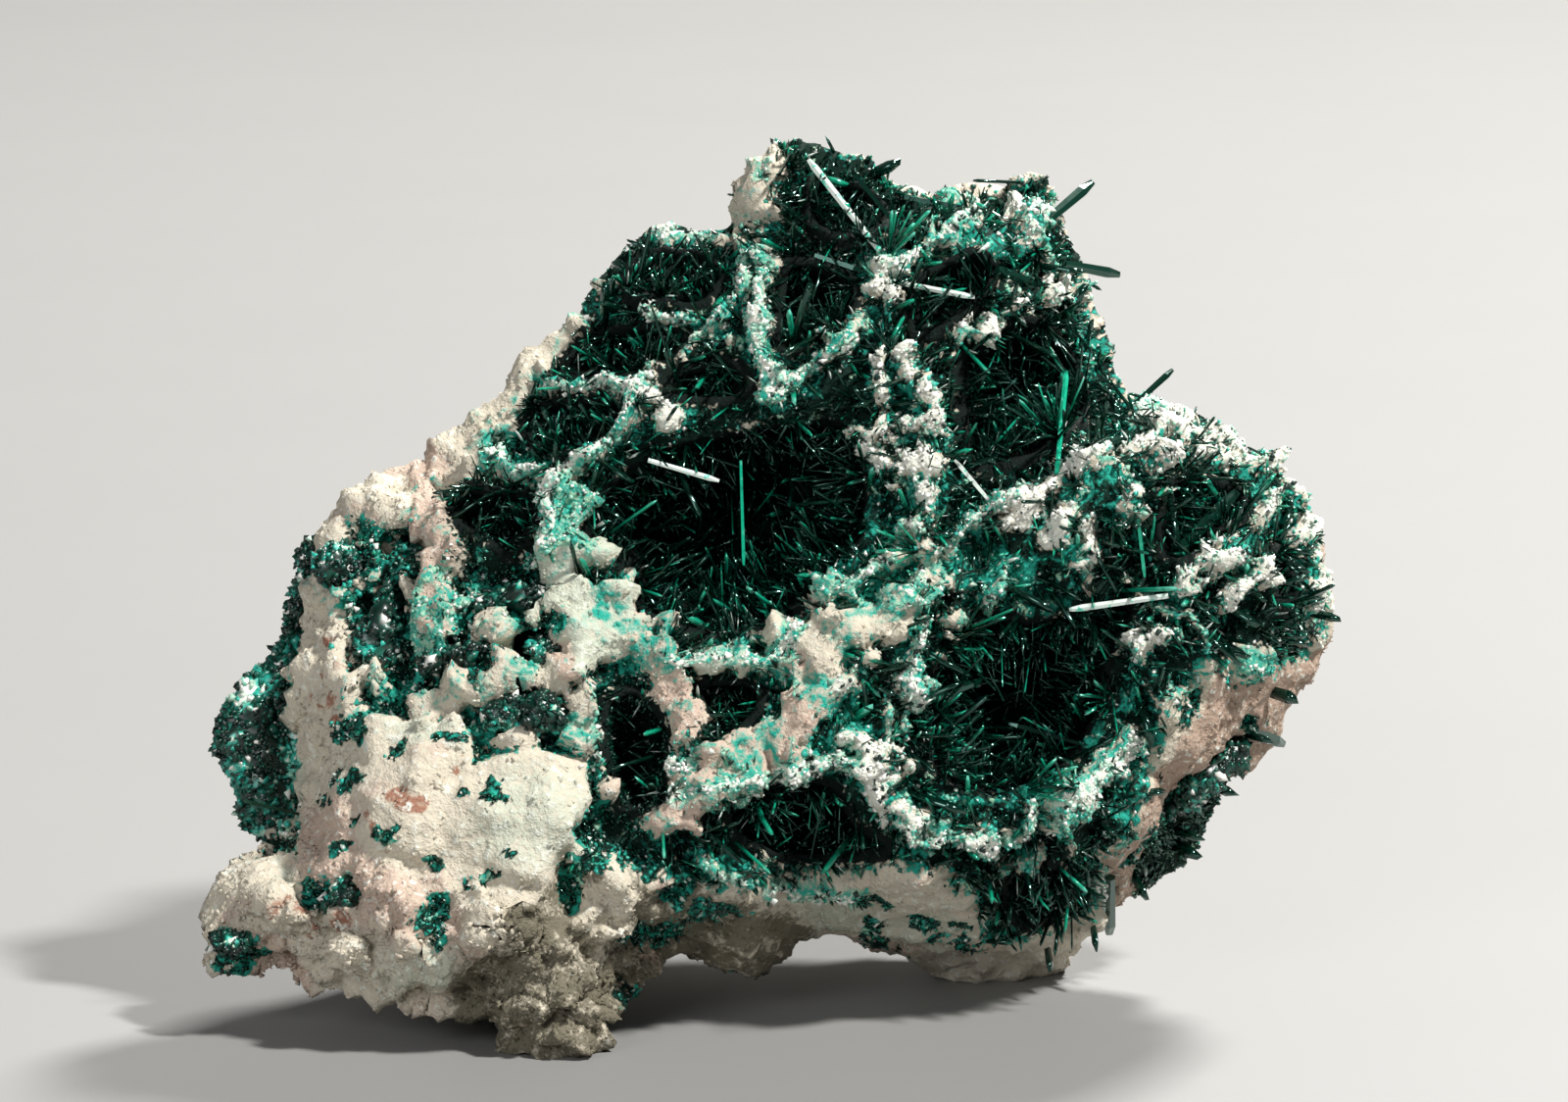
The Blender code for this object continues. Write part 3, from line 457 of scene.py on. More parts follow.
# Knobs and hollows.
SWELLS = swells(
    (-2.2, -12.6, 10.4, 1.3, 2.2, 15), (-2.0, -7.4, 7.2, 2.8, 1.2), (-1.2, -3.2, 8.4, 2.4, 1.0),
    (1.6, -9.5, 10.9, 2.3, 1.2, -15), (1.3, -10.0, 8.5, 1.6, 1.1), (1.1, -26.5, 6.4, 1.2, 1.5),
    (1.2, -22.4, 5.3, 2.8, 1.6), (1.3, -17.0, 8.9, 2.6, 1.7, 10), (0.9, -23.6, 9.4, 1.6, 2.0),
    (0.8, -14.4, 6.8, 1.4, 1.5), (0.9, -36.6, 7.0, 1.2, 1.0), (-1.1, -29.3, 7.9, 2.8, 0.7),
    (-1.2, -28.2, 10.5, 2.0, 0.9, 20), (-1.2, -21.2, 8.8, 0.8, 1.4), (-1.6, -18.8, 25.2, 1.1, 1.1),
    (-1.5, -15.3, 26.0, 1.3, 1.2), (-1.2, -24.6, 28.6, 1.0, 1.4), (-1.4, -27.5, 31.3, 1.4, 1.3),
    (-1.3, -18.6, 30.4, 2.4, 1.6), (1.0, 17.2, 57.4, 0.9, 1.0), (1.0, 26.2, 43.2, 1.0, 1.0),
    (0.8, 0.9, 59.4, 1.0, 0.9), (0.8, 5.8, 19.2, 1.4, 1.6), (0.7, 22.6, 16.0, 1.6, 2.6, -20),
    (0.7, 29.4, 21.0, 3.2, 1.6, 35), (1.0, -10.2, 53.8, 1.2, 1.1), (-1.5, -11.6, 12.8, 1.2, 0.8),
    (-1.8, -5.4, 10.2, 1.8, 0.9), (-1.2, -8.4, 12.4, 1.3, 0.7), (0.9, -7.0, 13.2, 1.0, 1.2))
# The smoother rock of the lower left, which has fewer crumbs.
PLATE = Spot((-18.5, 17.0), (8.5, 5.0), -12)
# The left tip, and how far it is moved.
TIP = Spot((-36.8, 7.6), (3.0, 2.4))
TIP_SHIFT = (-1.0, -1.1, 0.0)


@dataclass
class Site:
    """Places on the rock, with what every part of the ground reads there.

    Attributes:
        places: where they are on the face, in millimetres.
        normals: the surface's directions there, in the face frame.
        pit: how much each place is inside a pocket.
        noise: what makes the edges ragged.
        small: how far the edges stray at each place.
        uv, far, torn: across and up, strayed a little, strayed far, and strayed in short steps.
        front, behind: how much the surface faces the viewer, and how much it faces away.
        outside: how much each place is outside the pockets.
        fine: a fine mottling.
    """

    places: Array
    normals: Array
    pit: Array
    noise: Noise = Noise(5)
    small: Array = field(init=False)
    uv: Array = field(init=False)
    far: Array = field(init=False)
    torn: Array = field(init=False)
    front: Array = field(init=False)
    behind: Array = field(init=False)
    outside: Array = field(init=False)
    fine: Array = field(init=False)

    def __post_init__(self) -> None:
        """Reads the values that the parts of the ground share."""
        places, noise = self.places, self.noise
        self.small = noise.wander(places, 2.4, 3, 20)
        large = np.stack([noise.value(places, 5.0, 40 + axis) for axis in range(2)], axis=1)
        self.uv = places[:, :2] + 0.4 * self.small
        self.far = self.uv + 0.8 * large + 0.3 * self.small
        self.torn = self.uv + 0.55 * noise.wander(places, 1.1, 2, 100)
        self.front = smooth(-0.15, 0.25, self.normals[:, 2]) * smooth(-9.0, -6.0, places[:, 2])
        self.behind = smooth(0.0, -0.35, self.normals[:, 2])
        self.outside = 1 - self.pit
        self.fine = noise.layered(places, 1.2, 3, 70)

    def region(self, grainy: Array) -> Array:
        """How much places belong to the part that green crystals cover.

        Args:
            grainy: how much each place is where crystals stay short, and islands of rock are left bare.

        Returns:
            From 0 to 1 for each place.
        """
        painted = GREEN_REGION.share(self.far)
        across, up, out = self.uv[:, 0], self.places[:, 1], self.places[:, 2]
        steep = smooth(-0.75, -0.35, self.normals[:, 2]) * smooth(-7.5, -5.5, out + 1.6 * self.small[:, 0])
        steep *= np.maximum(smooth(46.0, 49.0, up), (painted > 0.99) & (across < 33.0))
        island = smooth(0.38, 0.70, self.noise.layered(self.places, 3.4, 2, 68)) * grainy * (across > -29.5)
        painted = painted * (1 - island) * np.maximum(self.front, steep)
        return np.maximum(painted, EDGE_REGION.share(self.uv) * self.front)

    def patches(self) -> tuple[Array, Array, Array]:
        """The small patches of crystals on the bare rock.

        Returns:
            How much they cover each place, how much it lies round one, and how much it is in the band.
        """
        gaps = [spot.distance(self.torn) for spot in PITS]
        pits = np.maximum.reduce([smooth(1.15, 0.75, gap) for gap in gaps]) * self.front
        rings = np.maximum.reduce([smooth(1.7, 1.0, gap) for gap in gaps]) * self.front
        band = BAND_REGION.share(self.uv) * (self.normals[:, 2] > -0.3) * (self.places[:, 2] > -12)
        fringe = smooth(1.5, 0.6, FRINGE.distance(self.torn)) * self.front
        return np.maximum.reduce([pits, band, fringe]), rings, band

    def back(self) -> tuple[Array, Array]:
        """The ragged green patches on the back.

        Returns:
            How much they cover each place, and how much their stain does.
        """
        noise, places = self.noise, self.places
        wide = noise.layered(places, 14.0, 2, 60) + 0.22 * noise.layered(places, 2.4, 4, 110)
        green = smooth(0.38, 0.50, wide) * self.behind
        stain = (smooth(0.26, 0.40, wide) * (0.8 + 0.4 * self.fine) - 0.3 * green) * self.behind
        return green, stain

    def stain(self, region: Array, halo: Array) -> Array:
        """How much turquoise has soaked into the rock, apart from the back and the small patches.

        Args:
            region: how much each place is in the part that green crystals cover.
            halo: how near it is to a thin wall.

        Returns:
            From 0 to about 1 for each place.
        """
        noise, places, uv, fine = self.noise, self.places, self.uv, self.fine
        left = smooth(-3.0, -9.0, uv[:, 0]) * smooth(37.0, 32.0, uv[:, 1]) * region
        edge = smooth(0.02, 0.5, region) * smooth(1.0, 0.5, region)
        glow = np.maximum.reduce([spot.share(self.far) for spot in GLOWS])
        mottle = smooth(-0.15, 0.55, noise.layered(places, 2.6, 3, 66)) * region
        clouds = smooth(0.55, 0.9, noise.layered(places, 5.0, 3, 80))
        return np.maximum.reduce([
            0.9 * edge, halo * region * (0.6 + 0.45 * fine), left * (0.45 + 0.6 * fine),
            mottle * (0.55 + 0.5 * glow) + 0.22 * glow * region, 0.5 * clouds * (1 - region)])

    def shade(self) -> Array:
        """How much painted shade each place gets, on the front left foot and on the rock under the ledge
        beside it.
        """
        foot = FOOT_REGION.share(self.uv) * smooth(-5.0, 1.0, self.places[:, 2])
        return np.maximum(foot, UNDER_REGION.share(self.torn) * smooth(-9.0, -5.0, self.places[:, 2]))


@dataclass
class Walls:
    """What the thin walls, knobs, hollows and veins do at a set of places.

    Attributes:
        cover: how much the walls of each kind cover a place.
        halo: how near it is to a wall.
        raised: how far it is moved out, in millimetres.
    """

    cover: dict[Kind, Array]
    halo: Array
    raised: Array

    @classmethod
    def at(cls, site: Site, region: Array) -> "Walls":
        """Reads the ridges and swells, and draws the veins.

        Args:
            site: the places.
            region: how much each is in the part that green crystals cover.

        Returns:
            What the walls do there.
        """
        count = len(site.uv)
        walls = cls({kind: np.zeros(count) for kind in Kind}, np.zeros(count), np.zeros(count))
        walls._add_ridges(site)
        for swell in SWELLS:
            share = smooth(1.5, 0.3, swell.spot.distance(site.uv))
            walls.raised += swell.height * share * site.front * site.outside
        walls._add_veins(site, region)
        return walls

    def _add_ridges(self, site: Site) -> None:
        """Adds each ridge, with a ragged edge and, where it is crusted, with gaps.

        Args:
            site: the places.
        """
        noise, places, front, outside = site.noise, site.places, site.front, site.outside
        ragged = np.clip(1 + 0.9 * noise.layered(places, 1.7, 3, 50), 0.4, 3.0)
        gap = 0.9 * smooth(0.15, 0.6, noise.value(places, 2.2, 55))
        speckle = smooth(-0.1, 0.35, noise.layered(places, 0.9, 2, 57))
        uneven = 0.75 + 0.6 * noise.value(places, 2.8, 59)
        for ridge in RIDGES:
            away = ridge.distance(site.uv)
            ratio = away * ragged
            crusted = ridge.kind in (Kind.SUGAR, Kind.TURQUOISE)
            reach = 1.3 if ridge.kind is Kind.TURQUOISE else 1.55
            share = smooth(reach, (0.45 if crusted else 0.7) * reach, ratio) * front * outside
            share *= 1 - gap * crusted
            self.raised = np.maximum(self.raised, share * ridge.height * uneven)
            self._cover(ridge.kind, share * (1 - 0.75 * speckle * (ridge.kind is Kind.SUGAR)))
            if ridge.kind is Kind.TURQUOISE:
                core = smooth(0.75, 0.35, ratio) * front * outside * (1 - gap)
                self._cover(Kind.SUGAR, 0.8 * core)
            self.halo = np.maximum(self.halo, smooth(2.4, 0.6, away * ridge.half_width) * front)

    def _add_veins(self, site: Site, region: Array) -> None:
        """Adds the thin turquoise veins among the green crystals.

        Args:
            site: the places.
            region: how much each is in the part that green crystals cover.
        """
        noise, places = site.noise, site.places
        vein = smooth(0.13, 0.03, np.abs(noise.value(places, 4.4, 62) + 0.12 * noise.value(places, 1.1, 63)))
        vein *= smooth(-0.2, 0.3, noise.value(places, 7.0, 64)) * region * site.outside
        self._cover(Kind.TURQUOISE, 0.85 * vein)
        self.halo = np.maximum(self.halo, 0.8 * vein)
        self.raised = self.raised + 0.6 * vein

    def _cover(self, kind: Kind, share: Array) -> None:
        """Lets one kind cover at least this share of each place."""
        self.cover[kind] = np.maximum(self.cover[kind], share)


@dataclass
class Ground:
    """What covers the rock at a set of places.

    Attributes:
        green: how much the place is lined with green crystals.
        open: how much of that lies outside the pockets.
        spots: how much of it is small patches on the bare rock.
        grainy: how much it is the part of the face where crystals stay short.
        pit: how much it is inside a pocket of the rock.
        sugar: how much a white crust covers it.
        crust: how much a turquoise crust covers it.
        pink, mint, brown, rust: how much of each colour the bare rock has; shade: how much painted shade
            darkens it.
        stain: how much turquoise has soaked into it.
        raised: how far a ridge, knob or hollow moves it out, in millimetres.
    """

    green: Array
    open: Array
    spots: Array
    grainy: Array
    pit: Array
    sugar: Array
    crust: Array
    pink: Array
    mint: Array
    brown: Array
    shade: Array
    rust: Array
    stain: Array
    raised: Array

    @staticmethod
    def painted() -> tuple[str, ...]:
        """The names of the values that the rock's material reads."""
        return ("green", "pit", "sugar", "crust", "pink", "mint", "brown", "shade", "rust", "stain")

    @classmethod
    def at(cls, places: Array, normals: Array, pit: Array) -> "Ground":
        """Reads the regions, ridges and spots at places on the rock.

        Args:
            places: face places in millimetres.
            normals: the surface's directions there, in the face frame.
            pit: how much each place is inside a pocket.

        Returns:
            What covers each place.
        """
        site = Site(places, normals, pit)
        grainy = GRAINY_REGION.share(site.uv)
        region = site.region(grainy)
        bare = 1 - region
        walls = Walls.at(site, region)
        lined = region * (1 - np.maximum.reduce([walls.cover[kind] for kind in Kind]))
        patches, rings, band = site.patches()
        back, back_stain = site.back()
        green = np.maximum.reduce([lined, patches, back])
        stain = np.maximum.reduce([0.6 * rings, back_stain, site.stain(region, walls.halo)])
        stain *= 1 - 0.8 * band
        pink = bare * smooth(-0.2, 0.5, site.noise.layered(places, 7.0, 3, 90))
        pink = np.maximum(walls.cover[Kind.PINK], pink * (1 - walls.cover[Kind.CREAM]))
        mint = np.maximum.reduce([smooth(1.5, 0.3, spot.distance(site.far)) for spot in MINTS]) * bare
        rust = np.maximum.reduce([spot.share(site.uv) for spot in RUST])
        return cls(
            green=np.maximum(green * site.outside, pit), open=lined * site.outside,
            spots=patches * site.outside, grainy=grainy, pit=pit, sugar=walls.cover[Kind.SUGAR],
            crust=walls.cover[Kind.TURQUOISE], pink=0.75 * pink,
            mint=np.maximum(0.8 * mint, walls.cover[Kind.MINT]), brown=WALL_REGION.share(site.uv) * bare,
            shade=site.shade() * (bare * (0.8 + 0.25 * site.fine)),
            rust=rust * smooth(-0.2, 0.5, site.fine) * site.front,
            stain=np.clip(stain * (1 - 0.75 * pit), 0, 1), raised=walls.raised)


@dataclass
class NodeTree:
    """A short way to wire a material's nodes.

    Attributes:
        name: the material's name.
        material: the material.
        shader: its Principled shader.
    """

    name: str
    material: bpy.types.Material = field(init=False)
    shader: bpy.types.Node = field(init=False)

    def __post_init__(self) -> None:
        """Makes the material with its Principled shader."""
        self.material = bpy.data.materials.new(self.name)
        self.material.use_nodes = True
        self.shader = self.material.node_tree.nodes["Principled BSDF"]

    def node(self, kind: str, **settings: object) -> bpy.types.Node:
        """Adds a node.

        Args:
            kind: its type.
            settings: what its properties are set to.

        Returns:
            The node.
        """
        made = self.material.node_tree.nodes.new(kind)
        for key, value in settings.items():
            setattr(made, key, value)
        return made

    def link(self, source: Socket, target: Socket) -> None:
        """Joins two sockets."""
        self.material.node_tree.links.new(source, target)

    def attribute(self, name: str) -> Socket:
        """A value painted on the mesh."""
        return self.node("ShaderNodeAttribute", attribute_name=name).outputs["Fac"]

    def noise(self, size_mm: float, detail: float = 3.0) -> Socket:
        """Noise over the object.

        Args:
            size_mm: about how wide its features are.
            detail: how much finer noise is added.

        Returns:
            A value from 0 to 1.
        """
        where = self.node("ShaderNodeTexCoord").outputs["Object"]
        made = self.node("ShaderNodeTexNoise")
        made.inputs["Scale"].default_value = 1 / (size_mm * MM)
        made.inputs["Detail"].default_value = detail
        self.link(where, made.inputs["Vector"])
        return made.outputs["Fac"]

    def ramp(self, source: Socket, low: float, high: float) -> Socket:
        """A smooth step.

        Args:
            source: the value that it reads.
            low: the value that becomes 0.
            high: the value that becomes 1.

        Returns:
            A value from 0 to 1.
        """
        made = self.node("ShaderNodeMapRange", interpolation_type="SMOOTHSTEP")
        made.inputs["From Min"].default_value = low
        made.inputs["From Max"].default_value = high
        self.link(source, made.inputs["Value"])
        return made.outputs["Result"]

    def math(self, operation: str, a: Socket | float, b: Socket | float) -> Socket:
        """Works out one value from two.

        Args:
            operation: what is done with them, such as ADD.
            a: the first value.
            b: the second value.

        Returns:
            The result.
        """
        made = self.node("ShaderNodeMath", operation=operation)
        for i, value in enumerate((a, b)):
            if isinstance(value, (int, float)):
                made.inputs[i].default_value = value
            else:
                self.link(value, made.inputs[i])
        return made.outputs[0]

    def mix(self, share: Socket, a: Socket | Colour, b: Socket | Colour) -> Socket:
        """Blends two colours.

        Args:
            share: how much of the second there is.
            a: the first colour.
            b: the second colour.

        Returns:
            The blend.
        """
        made = self.node("ShaderNodeMix", data_type="RGBA")
        self.link(share, made.inputs["Factor"])
        for name, value in ((6, a), (7, b)):
            if isinstance(value, tuple):
                made.inputs[name].default_value = (*value, 1.0)
            else:
                self.link(value, made.inputs[name])
        return made.outputs[2]

    def bump(self, height: Socket, distance_mm: float, strength: float) -> None:
        """Makes the surface look raised.

        Args:
            height: how far, as a share of the distance.
            distance_mm: how far a height of 1 looks raised.
            strength: how much of this shows.
        """
        made = self.node("ShaderNodeBump")
        made.inputs["Distance"].default_value = distance_mm * MM
        made.inputs["Strength"].default_value = strength
        self.link(height, made.inputs["Height"])
        self.link(made.outputs["Normal"], self.shader.inputs["Normal"])

    def set(self, **values: object) -> None:
        """Sets the shader's plain values; an underscore stands for a space."""
        for key, value in values.items():
            self.shader.inputs[key.replace("_", " ")].default_value = value


@dataclass(frozen=True)
class RockFinish:
    """The rock's look: cream, pink and pale green ground, stained turquoise near the crystals.

    Attributes:
        cream, pink, mint, brown, rust: the colours of the bare rock.
        shade: the colour of the painted shade on the foot and on the rock under the ledge beside it.
        dirt, white: the colours of its dark and its pale flecks.
        turquoise, pale: the colours of its crusts and stains.
        emerald, deep, black: the colours of the lining, from the lit places to the pockets; black is the
            lining's own dark colour with painted shade laid over it in the pockets.
    """

    cream: Colour = (0.56, 0.51, 0.41)
    pink: Colour = (0.50, 0.385, 0.31)
    mint: Colour = (0.49, 0.53, 0.43)
    brown: Colour = (0.39, 0.29, 0.225)
    shade: Colour = (0.155, 0.14, 0.10)
    rust: Colour = (0.30, 0.15, 0.10)
    dirt: Colour = (0.17, 0.15, 0.11)
    turquoise: Colour = (0.018, 0.33, 0.25)
    emerald: Colour = (0.003, 0.12, 0.08)
    white: Colour = (0.68, 0.68, 0.60)
    pale: Colour = (0.34, 0.56, 0.40)
    deep: Colour = (0.001, 0.014, 0.009)
    black: Colour = (0.0006, 0.005, 0.0035)

    def build(self) -> bpy.types.Material:
        """Wires the rock's material.

        Returns:
            The material.
        """
        tree = NodeTree("rock")
        tiny, fine, coarse = tree.noise(0.16, 4.0), tree.noise(0.5, 6.0), tree.noise(1.7, 5.0)
        broken = tree.math("MULTIPLY", tree.math("SUBTRACT", fine, 0.5), 1.6)

        def painted(name: str, low: float, high: float) -> Socket:
            """A painted value with its edge broken up."""
            return tree.ramp(tree.math("ADD", tree.attribute(name), broken), low, high)

        colour = tree.mix(painted("pink", 0.25, 0.75), self.cream, self.pink)
        colour = tree.mix(painted("mint", 0.25, 1.1), colour, self.mint)
        colour = tree.mix(painted("brown", 0.35, 0.7), colour, self.brown)
        colour = tree.mix(painted("rust", 0.45, 0.95), colour, self.rust)
        # Painted shade on the foot and under the ledge beside it.
        colour = tree.mix(painted("shade", 0.35, 0.85), colour, self.shade)
        dirty = tree.mix(tree.ramp(fine, 0.45, 0.65), colour, self.dirt)
        colour = tree.mix(tree.ramp(coarse, 0.60, 0.74), colour, dirty)
        # The pale flecks are left out where the shade is painted.
        unshaded = tree.ramp(tree.attribute("shade"), 0.9, 0.3)
        lighter = tree.math("MULTIPLY", tree.ramp(fine, 0.54, 0.70), unshaded)
        colour = tree.mix(lighter, colour, self.white)
        colour = tree.mix(painted("stain", 0.66, 1.20), colour, self.turquoise)
        crusted = tree.mix(tree.ramp(fine, 0.48, 0.66), self.turquoise, self.pale)
        colour = tree.mix(painted("crust", 0.45, 0.85), colour, crusted)
        colour = tree.mix(painted("sugar", 0.45, 0.85), colour, self.white)
        soaked = tree.mix(tree.ramp(fine, 0.40, 0.62), self.emerald, self.turquoise)
        lining = tree.mix(painted("stain", 0.42, 0.85), self.deep, soaked)
        flecks = tree.math("MULTIPLY", tree.ramp(coarse, 0.58, 0.66), tree.ramp(fine, 0.52, 0.60))
        lining = tree.mix(flecks, lining, self.pale)
        # In the pockets the lining is painted black: its own dark colour deepened with painted shade.
        lining = tree.mix(painted("pit", 0.30, 0.60), lining, self.black)
        colour = tree.mix(painted("green", 0.35, 0.60), colour, lining)
        tree.link(colour, tree.shader.inputs["Base Color"])
        tree.set(Roughness=0.85, Metallic=0.0, Specular_IOR_Level=0.2)
        height = tree.math("ADD", fine, tree.math("MULTIPLY", tiny, 0.3))
        height = tree.math("ADD", height, coarse)
        tree.bump(height, 0.30, 0.9)
        return tree.material


@dataclass(frozen=True)
class CrystalFinish:
    """Green crystal: dark where it is deep, emerald where light comes through.

    Attributes:
        name: the material's name.
        deep: the colour of most crystals.
        lit: the colour of those that light shines through.
        pale: the colour of a few thin ones.
        glint: the colour of those that look white because they catch the light.
        transmission: how see-through it is.
        roughness: how rough its faces are.
        gleam: the colour of its reflections.
        streaks: how much its tone varies along it.
    """

    name: str
    deep: Colour = (0.001, 0.020, 0.012)
    lit: Colour = (0.008, 0.44, 0.26)
    pale: Colour = (0.16, 0.70, 0.52)
    glint: Colour = (0.80, 0.88, 0.82)
    transmission: float = 0.45
    roughness: float = 0.08
    gleam: tuple[float, float, float, float] = (0.55, 1.0, 0.86, 1.0)
    streaks: float = 0.35

    def build(self) -> bpy.types.Material:
        """Wires the crystal's material, with a tone painted on each crystal and streaks along it.

        Returns:
            The material.
        """
        tree = NodeTree(self.name)
        streak = tree.math("MULTIPLY", tree.math("SUBTRACT", tree.noise(0.5, 5.0), 0.5), self.streaks)
        tone = tree.math("ADD", tree.attribute("tone"), streak)
        colour = tree.mix(tree.ramp(tone, 0.55, 0.84), self.deep, self.lit)
        colour = tree.mix(tree.ramp(tone, 0.90, 1.02), colour, self.pale)
        colour = tree.mix(tree.ramp(tone, 1.10, 1.20), colour, self.glint)
        tree.link(colour, tree.shader.inputs["Base Color"])
        rough = tree.math("ADD", tree.math("MULTIPLY", tree.noise(0.9, 3.0), 0.16), self.roughness - 0.06)
        tree.link(rough, tree.shader.inputs["Roughness"])
        tree.set(Metallic=0.0, IOR=1.77, Transmission_Weight=self.transmission, Specular_Tint=self.gleam)
        return tree.material


@dataclass(frozen=True)
class GrainFinish:
    """Grains whose tone runs from white through turquoise to deep green.

    Attributes:
        white, pale, turquoise, emerald, deep: the colours, from the lowest tone to the highest.
    """

    white: Colour = (0.86, 0.86, 0.80)
    pale: Colour = (0.34, 0.58, 0.44)
    turquoise: Colour = (0.02, 0.40, 0.31)
    emerald: Colour = (0.002, 0.085, 0.055)
    deep: Colour = (0.001, 0.016, 0.011)

    def build(self) -> bpy.types.Material:
        """Wires the grains' material, with a tone painted on each grain.

        Returns:
            The material.
        """
        tree = NodeTree("grains")
        mottle = tree.math("MULTIPLY", tree.math("SUBTRACT", tree.noise(0.4), 0.5), 0.25)
        tone = tree.math("ADD", tree.attribute("tone"), mottle)
        colour = tree.mix(tree.ramp(tone, 0.15, 0.35), self.white, self.pale)
        colour = tree.mix(tree.ramp(tone, 0.32, 0.48), colour, self.turquoise)
        colour = tree.mix(tree.ramp(tone, 0.50, 0.68), colour, self.emerald)
        colour = tree.mix(tree.ramp(tone, 0.70, 0.90), colour, self.deep)
        tree.link(colour, tree.shader.inputs["Base Color"])
        rough = tree.math("ADD", tree.math("MULTIPLY", tree.noise(0.4), 0.3), 0.18)
        tree.link(rough, tree.shader.inputs["Roughness"])
        tree.set(Metallic=0.0, IOR=1.55, Transmission_Weight=0.1)
        return tree.material


@dataclass
class MeshParts:
    """Closed shapes gathered into one mesh.

    Attributes:
        points: their points, group by group, in face millimetres.
        faces: their faces by number of sides.
        tones: the tone of each point, group by group.
        count: how many points there are so far.
    """

    points: list[Array] = field(default_factory=list)
    faces: dict[int, list[Array]] = field(default_factory=lambda: {3: [], 4: []})
    tones: list[Array] = field(default_factory=list)
    count: int = 0

    def add(self, points: Array, patterns: tuple[tuple[int, ...], ...], tones: Array,
            shading: tuple[float, ...] = (0.0,)) -> None:
        """Adds many copies of one shape.

        Args:
            points: the copies' points, copy by copy, in face millimetres.
            patterns: the shape's faces, by the numbers of its points.
            tones: one tone for each copy.
            shading: how much brighter each point of the shape is.
        """
        copies, each, _ = points.shape
        starts = self.count + each * np.arange(copies)
        for pattern in patterns:
            self.faces[len(pattern)].append(starts[:, None] + np.array(pattern))
        self.points.append(points.reshape(-1, 3))
        self.tones.append((tones[:, None] + np.resize(shading, each)).ravel())
        self.count += copies * each

    def add_mesh(self, points: Array, faces: Array, tones: Array) -> None:
        """Adds one ready mesh.

        Args:
            points: its points, in face millimetres.
            faces: its faces, all with the same number of sides.
            tones: the tone of each point.
        """
        self.faces[faces.shape[1]].append(faces + self.count)
        self.points.append(points)
        self.tones.append(tones)
        self.count += len(points)

    def triangles(self) -> int:
        """How many triangles the mesh will have."""
        return sum((sides - 2) * len(group) for sides, groups in self.faces.items() for group in groups)

    def build(self, name: str, material: bpy.types.Material) -> bpy.types.Object:
        """Makes the object, with a tone on each point.

        Args:
            name: its name.
            material: its material.

        Returns:
            The object.
        """
        groups = [np.concatenate(group) for group in self.faces.values() if group]
        mesh = new_mesh(name, FACE.to_row(np.concatenate(self.points)), groups)
        paint(mesh, "tone", np.concatenate(self.tones))
        mesh.materials.append(material)
        obj = bpy.data.objects.new(name, mesh)
        bpy.context.scene.collection.objects.link(obj)
        return obj


def new_mesh(name: str, points: Array, groups: list[Array]) -> bpy.types.Mesh:
    """Makes a mesh.

    Args:
        name: its name.
        points: its points in the row frame, in metres.
        groups: its faces, each group with one number of sides.

    Returns:
        The mesh.
    """
    mesh = bpy.data.meshes.new(name)
    mesh.vertices.add(len(points))
    mesh.vertices.foreach_set("co", np.ascontiguousarray(points, np.float32).ravel())
    loops = np.concatenate([group.ravel() for group in groups])
    sizes = np.concatenate([np.full(len(group), group.shape[1]) for group in groups])
    mesh.loops.add(len(loops))
    mesh.loops.foreach_set("vertex_index", loops.astype(np.int32))
    mesh.polygons.add(len(sizes))
    starts = np.concatenate([[0], np.cumsum(sizes)[:-1]]).astype(np.int32)
    mesh.polygons.foreach_set("loop_start", starts)
    mesh.update(calc_edges=True)
    mesh.validate()
    return mesh


def paint(mesh: bpy.types.Mesh, name: str, values: Array) -> None:
    """Paints a value on each point of a mesh."""
    made = mesh.attributes.new(name, "FLOAT", "POINT")
    made.data.foreach_set("value", np.ascontiguousarray(values, np.float32))


def mesh_arrays(mesh: bpy.types.Mesh) -> tuple[Array, Array, Array]:
    """Reads a mesh whose faces all have four sides.

    Args:
        mesh: the mesh, in the row frame.

    Returns:
        Its points as face places in millimetres, its faces, and its points' directions in the face frame.
    """
    points = np.empty(len(mesh.vertices) * 3, np.float32)
    mesh.vertices.foreach_get("co", points)
    normals = np.empty(len(mesh.vertices) * 3, np.float32)
    mesh.vertices.foreach_get("normal", normals)
    loops = np.empty(len(mesh.loops), np.int32)
    mesh.loops.foreach_get("vertex_index", loops)
    places = FACE.to_face(points.reshape(-1, 3).astype(float))
    return places, loops.reshape(len(mesh.polygons), -1), normals.reshape(-1, 3) @ FACE.axes().T


def remeshed(source: bpy.types.Object, voxel_mm: float, grow_mm: float = 0.0) -> bpy.types.Mesh:
    """A finely and evenly divided copy of a solid's surface.

    Args:
        source: the solid.
        voxel_mm: the length of the new faces' sides.
        grow_mm: how far the surface is first moved out along its normals.

    Returns:
        The new mesh.
    """
    obj = bpy.data.objects.new(source.name + "_fine", source.data.copy())
    bpy.context.scene.collection.objects.link(obj)
    merge = bmesh.new()
    merge.from_mesh(obj.data)
    bmesh.ops.remove_doubles(merge, verts=merge.verts, dist=SAME_POINT_MM * MM)
    if grow_mm:
        merge.normal_update()
        for vert in merge.verts:
            vert.co += vert.normal * grow_mm * MM
    merge.to_mesh(obj.data)
    merge.free()
    modifier = obj.modifiers.new("even", "REMESH")
    modifier.mode = "VOXEL"
    modifier.voxel_size = voxel_mm * MM
    bpy.context.view_layer.update()
    shown = obj.evaluated_get(bpy.context.evaluated_depsgraph_get())
    mesh = bpy.data.meshes.new_from_object(shown)
    bpy.data.objects.remove(obj)
    return mesh


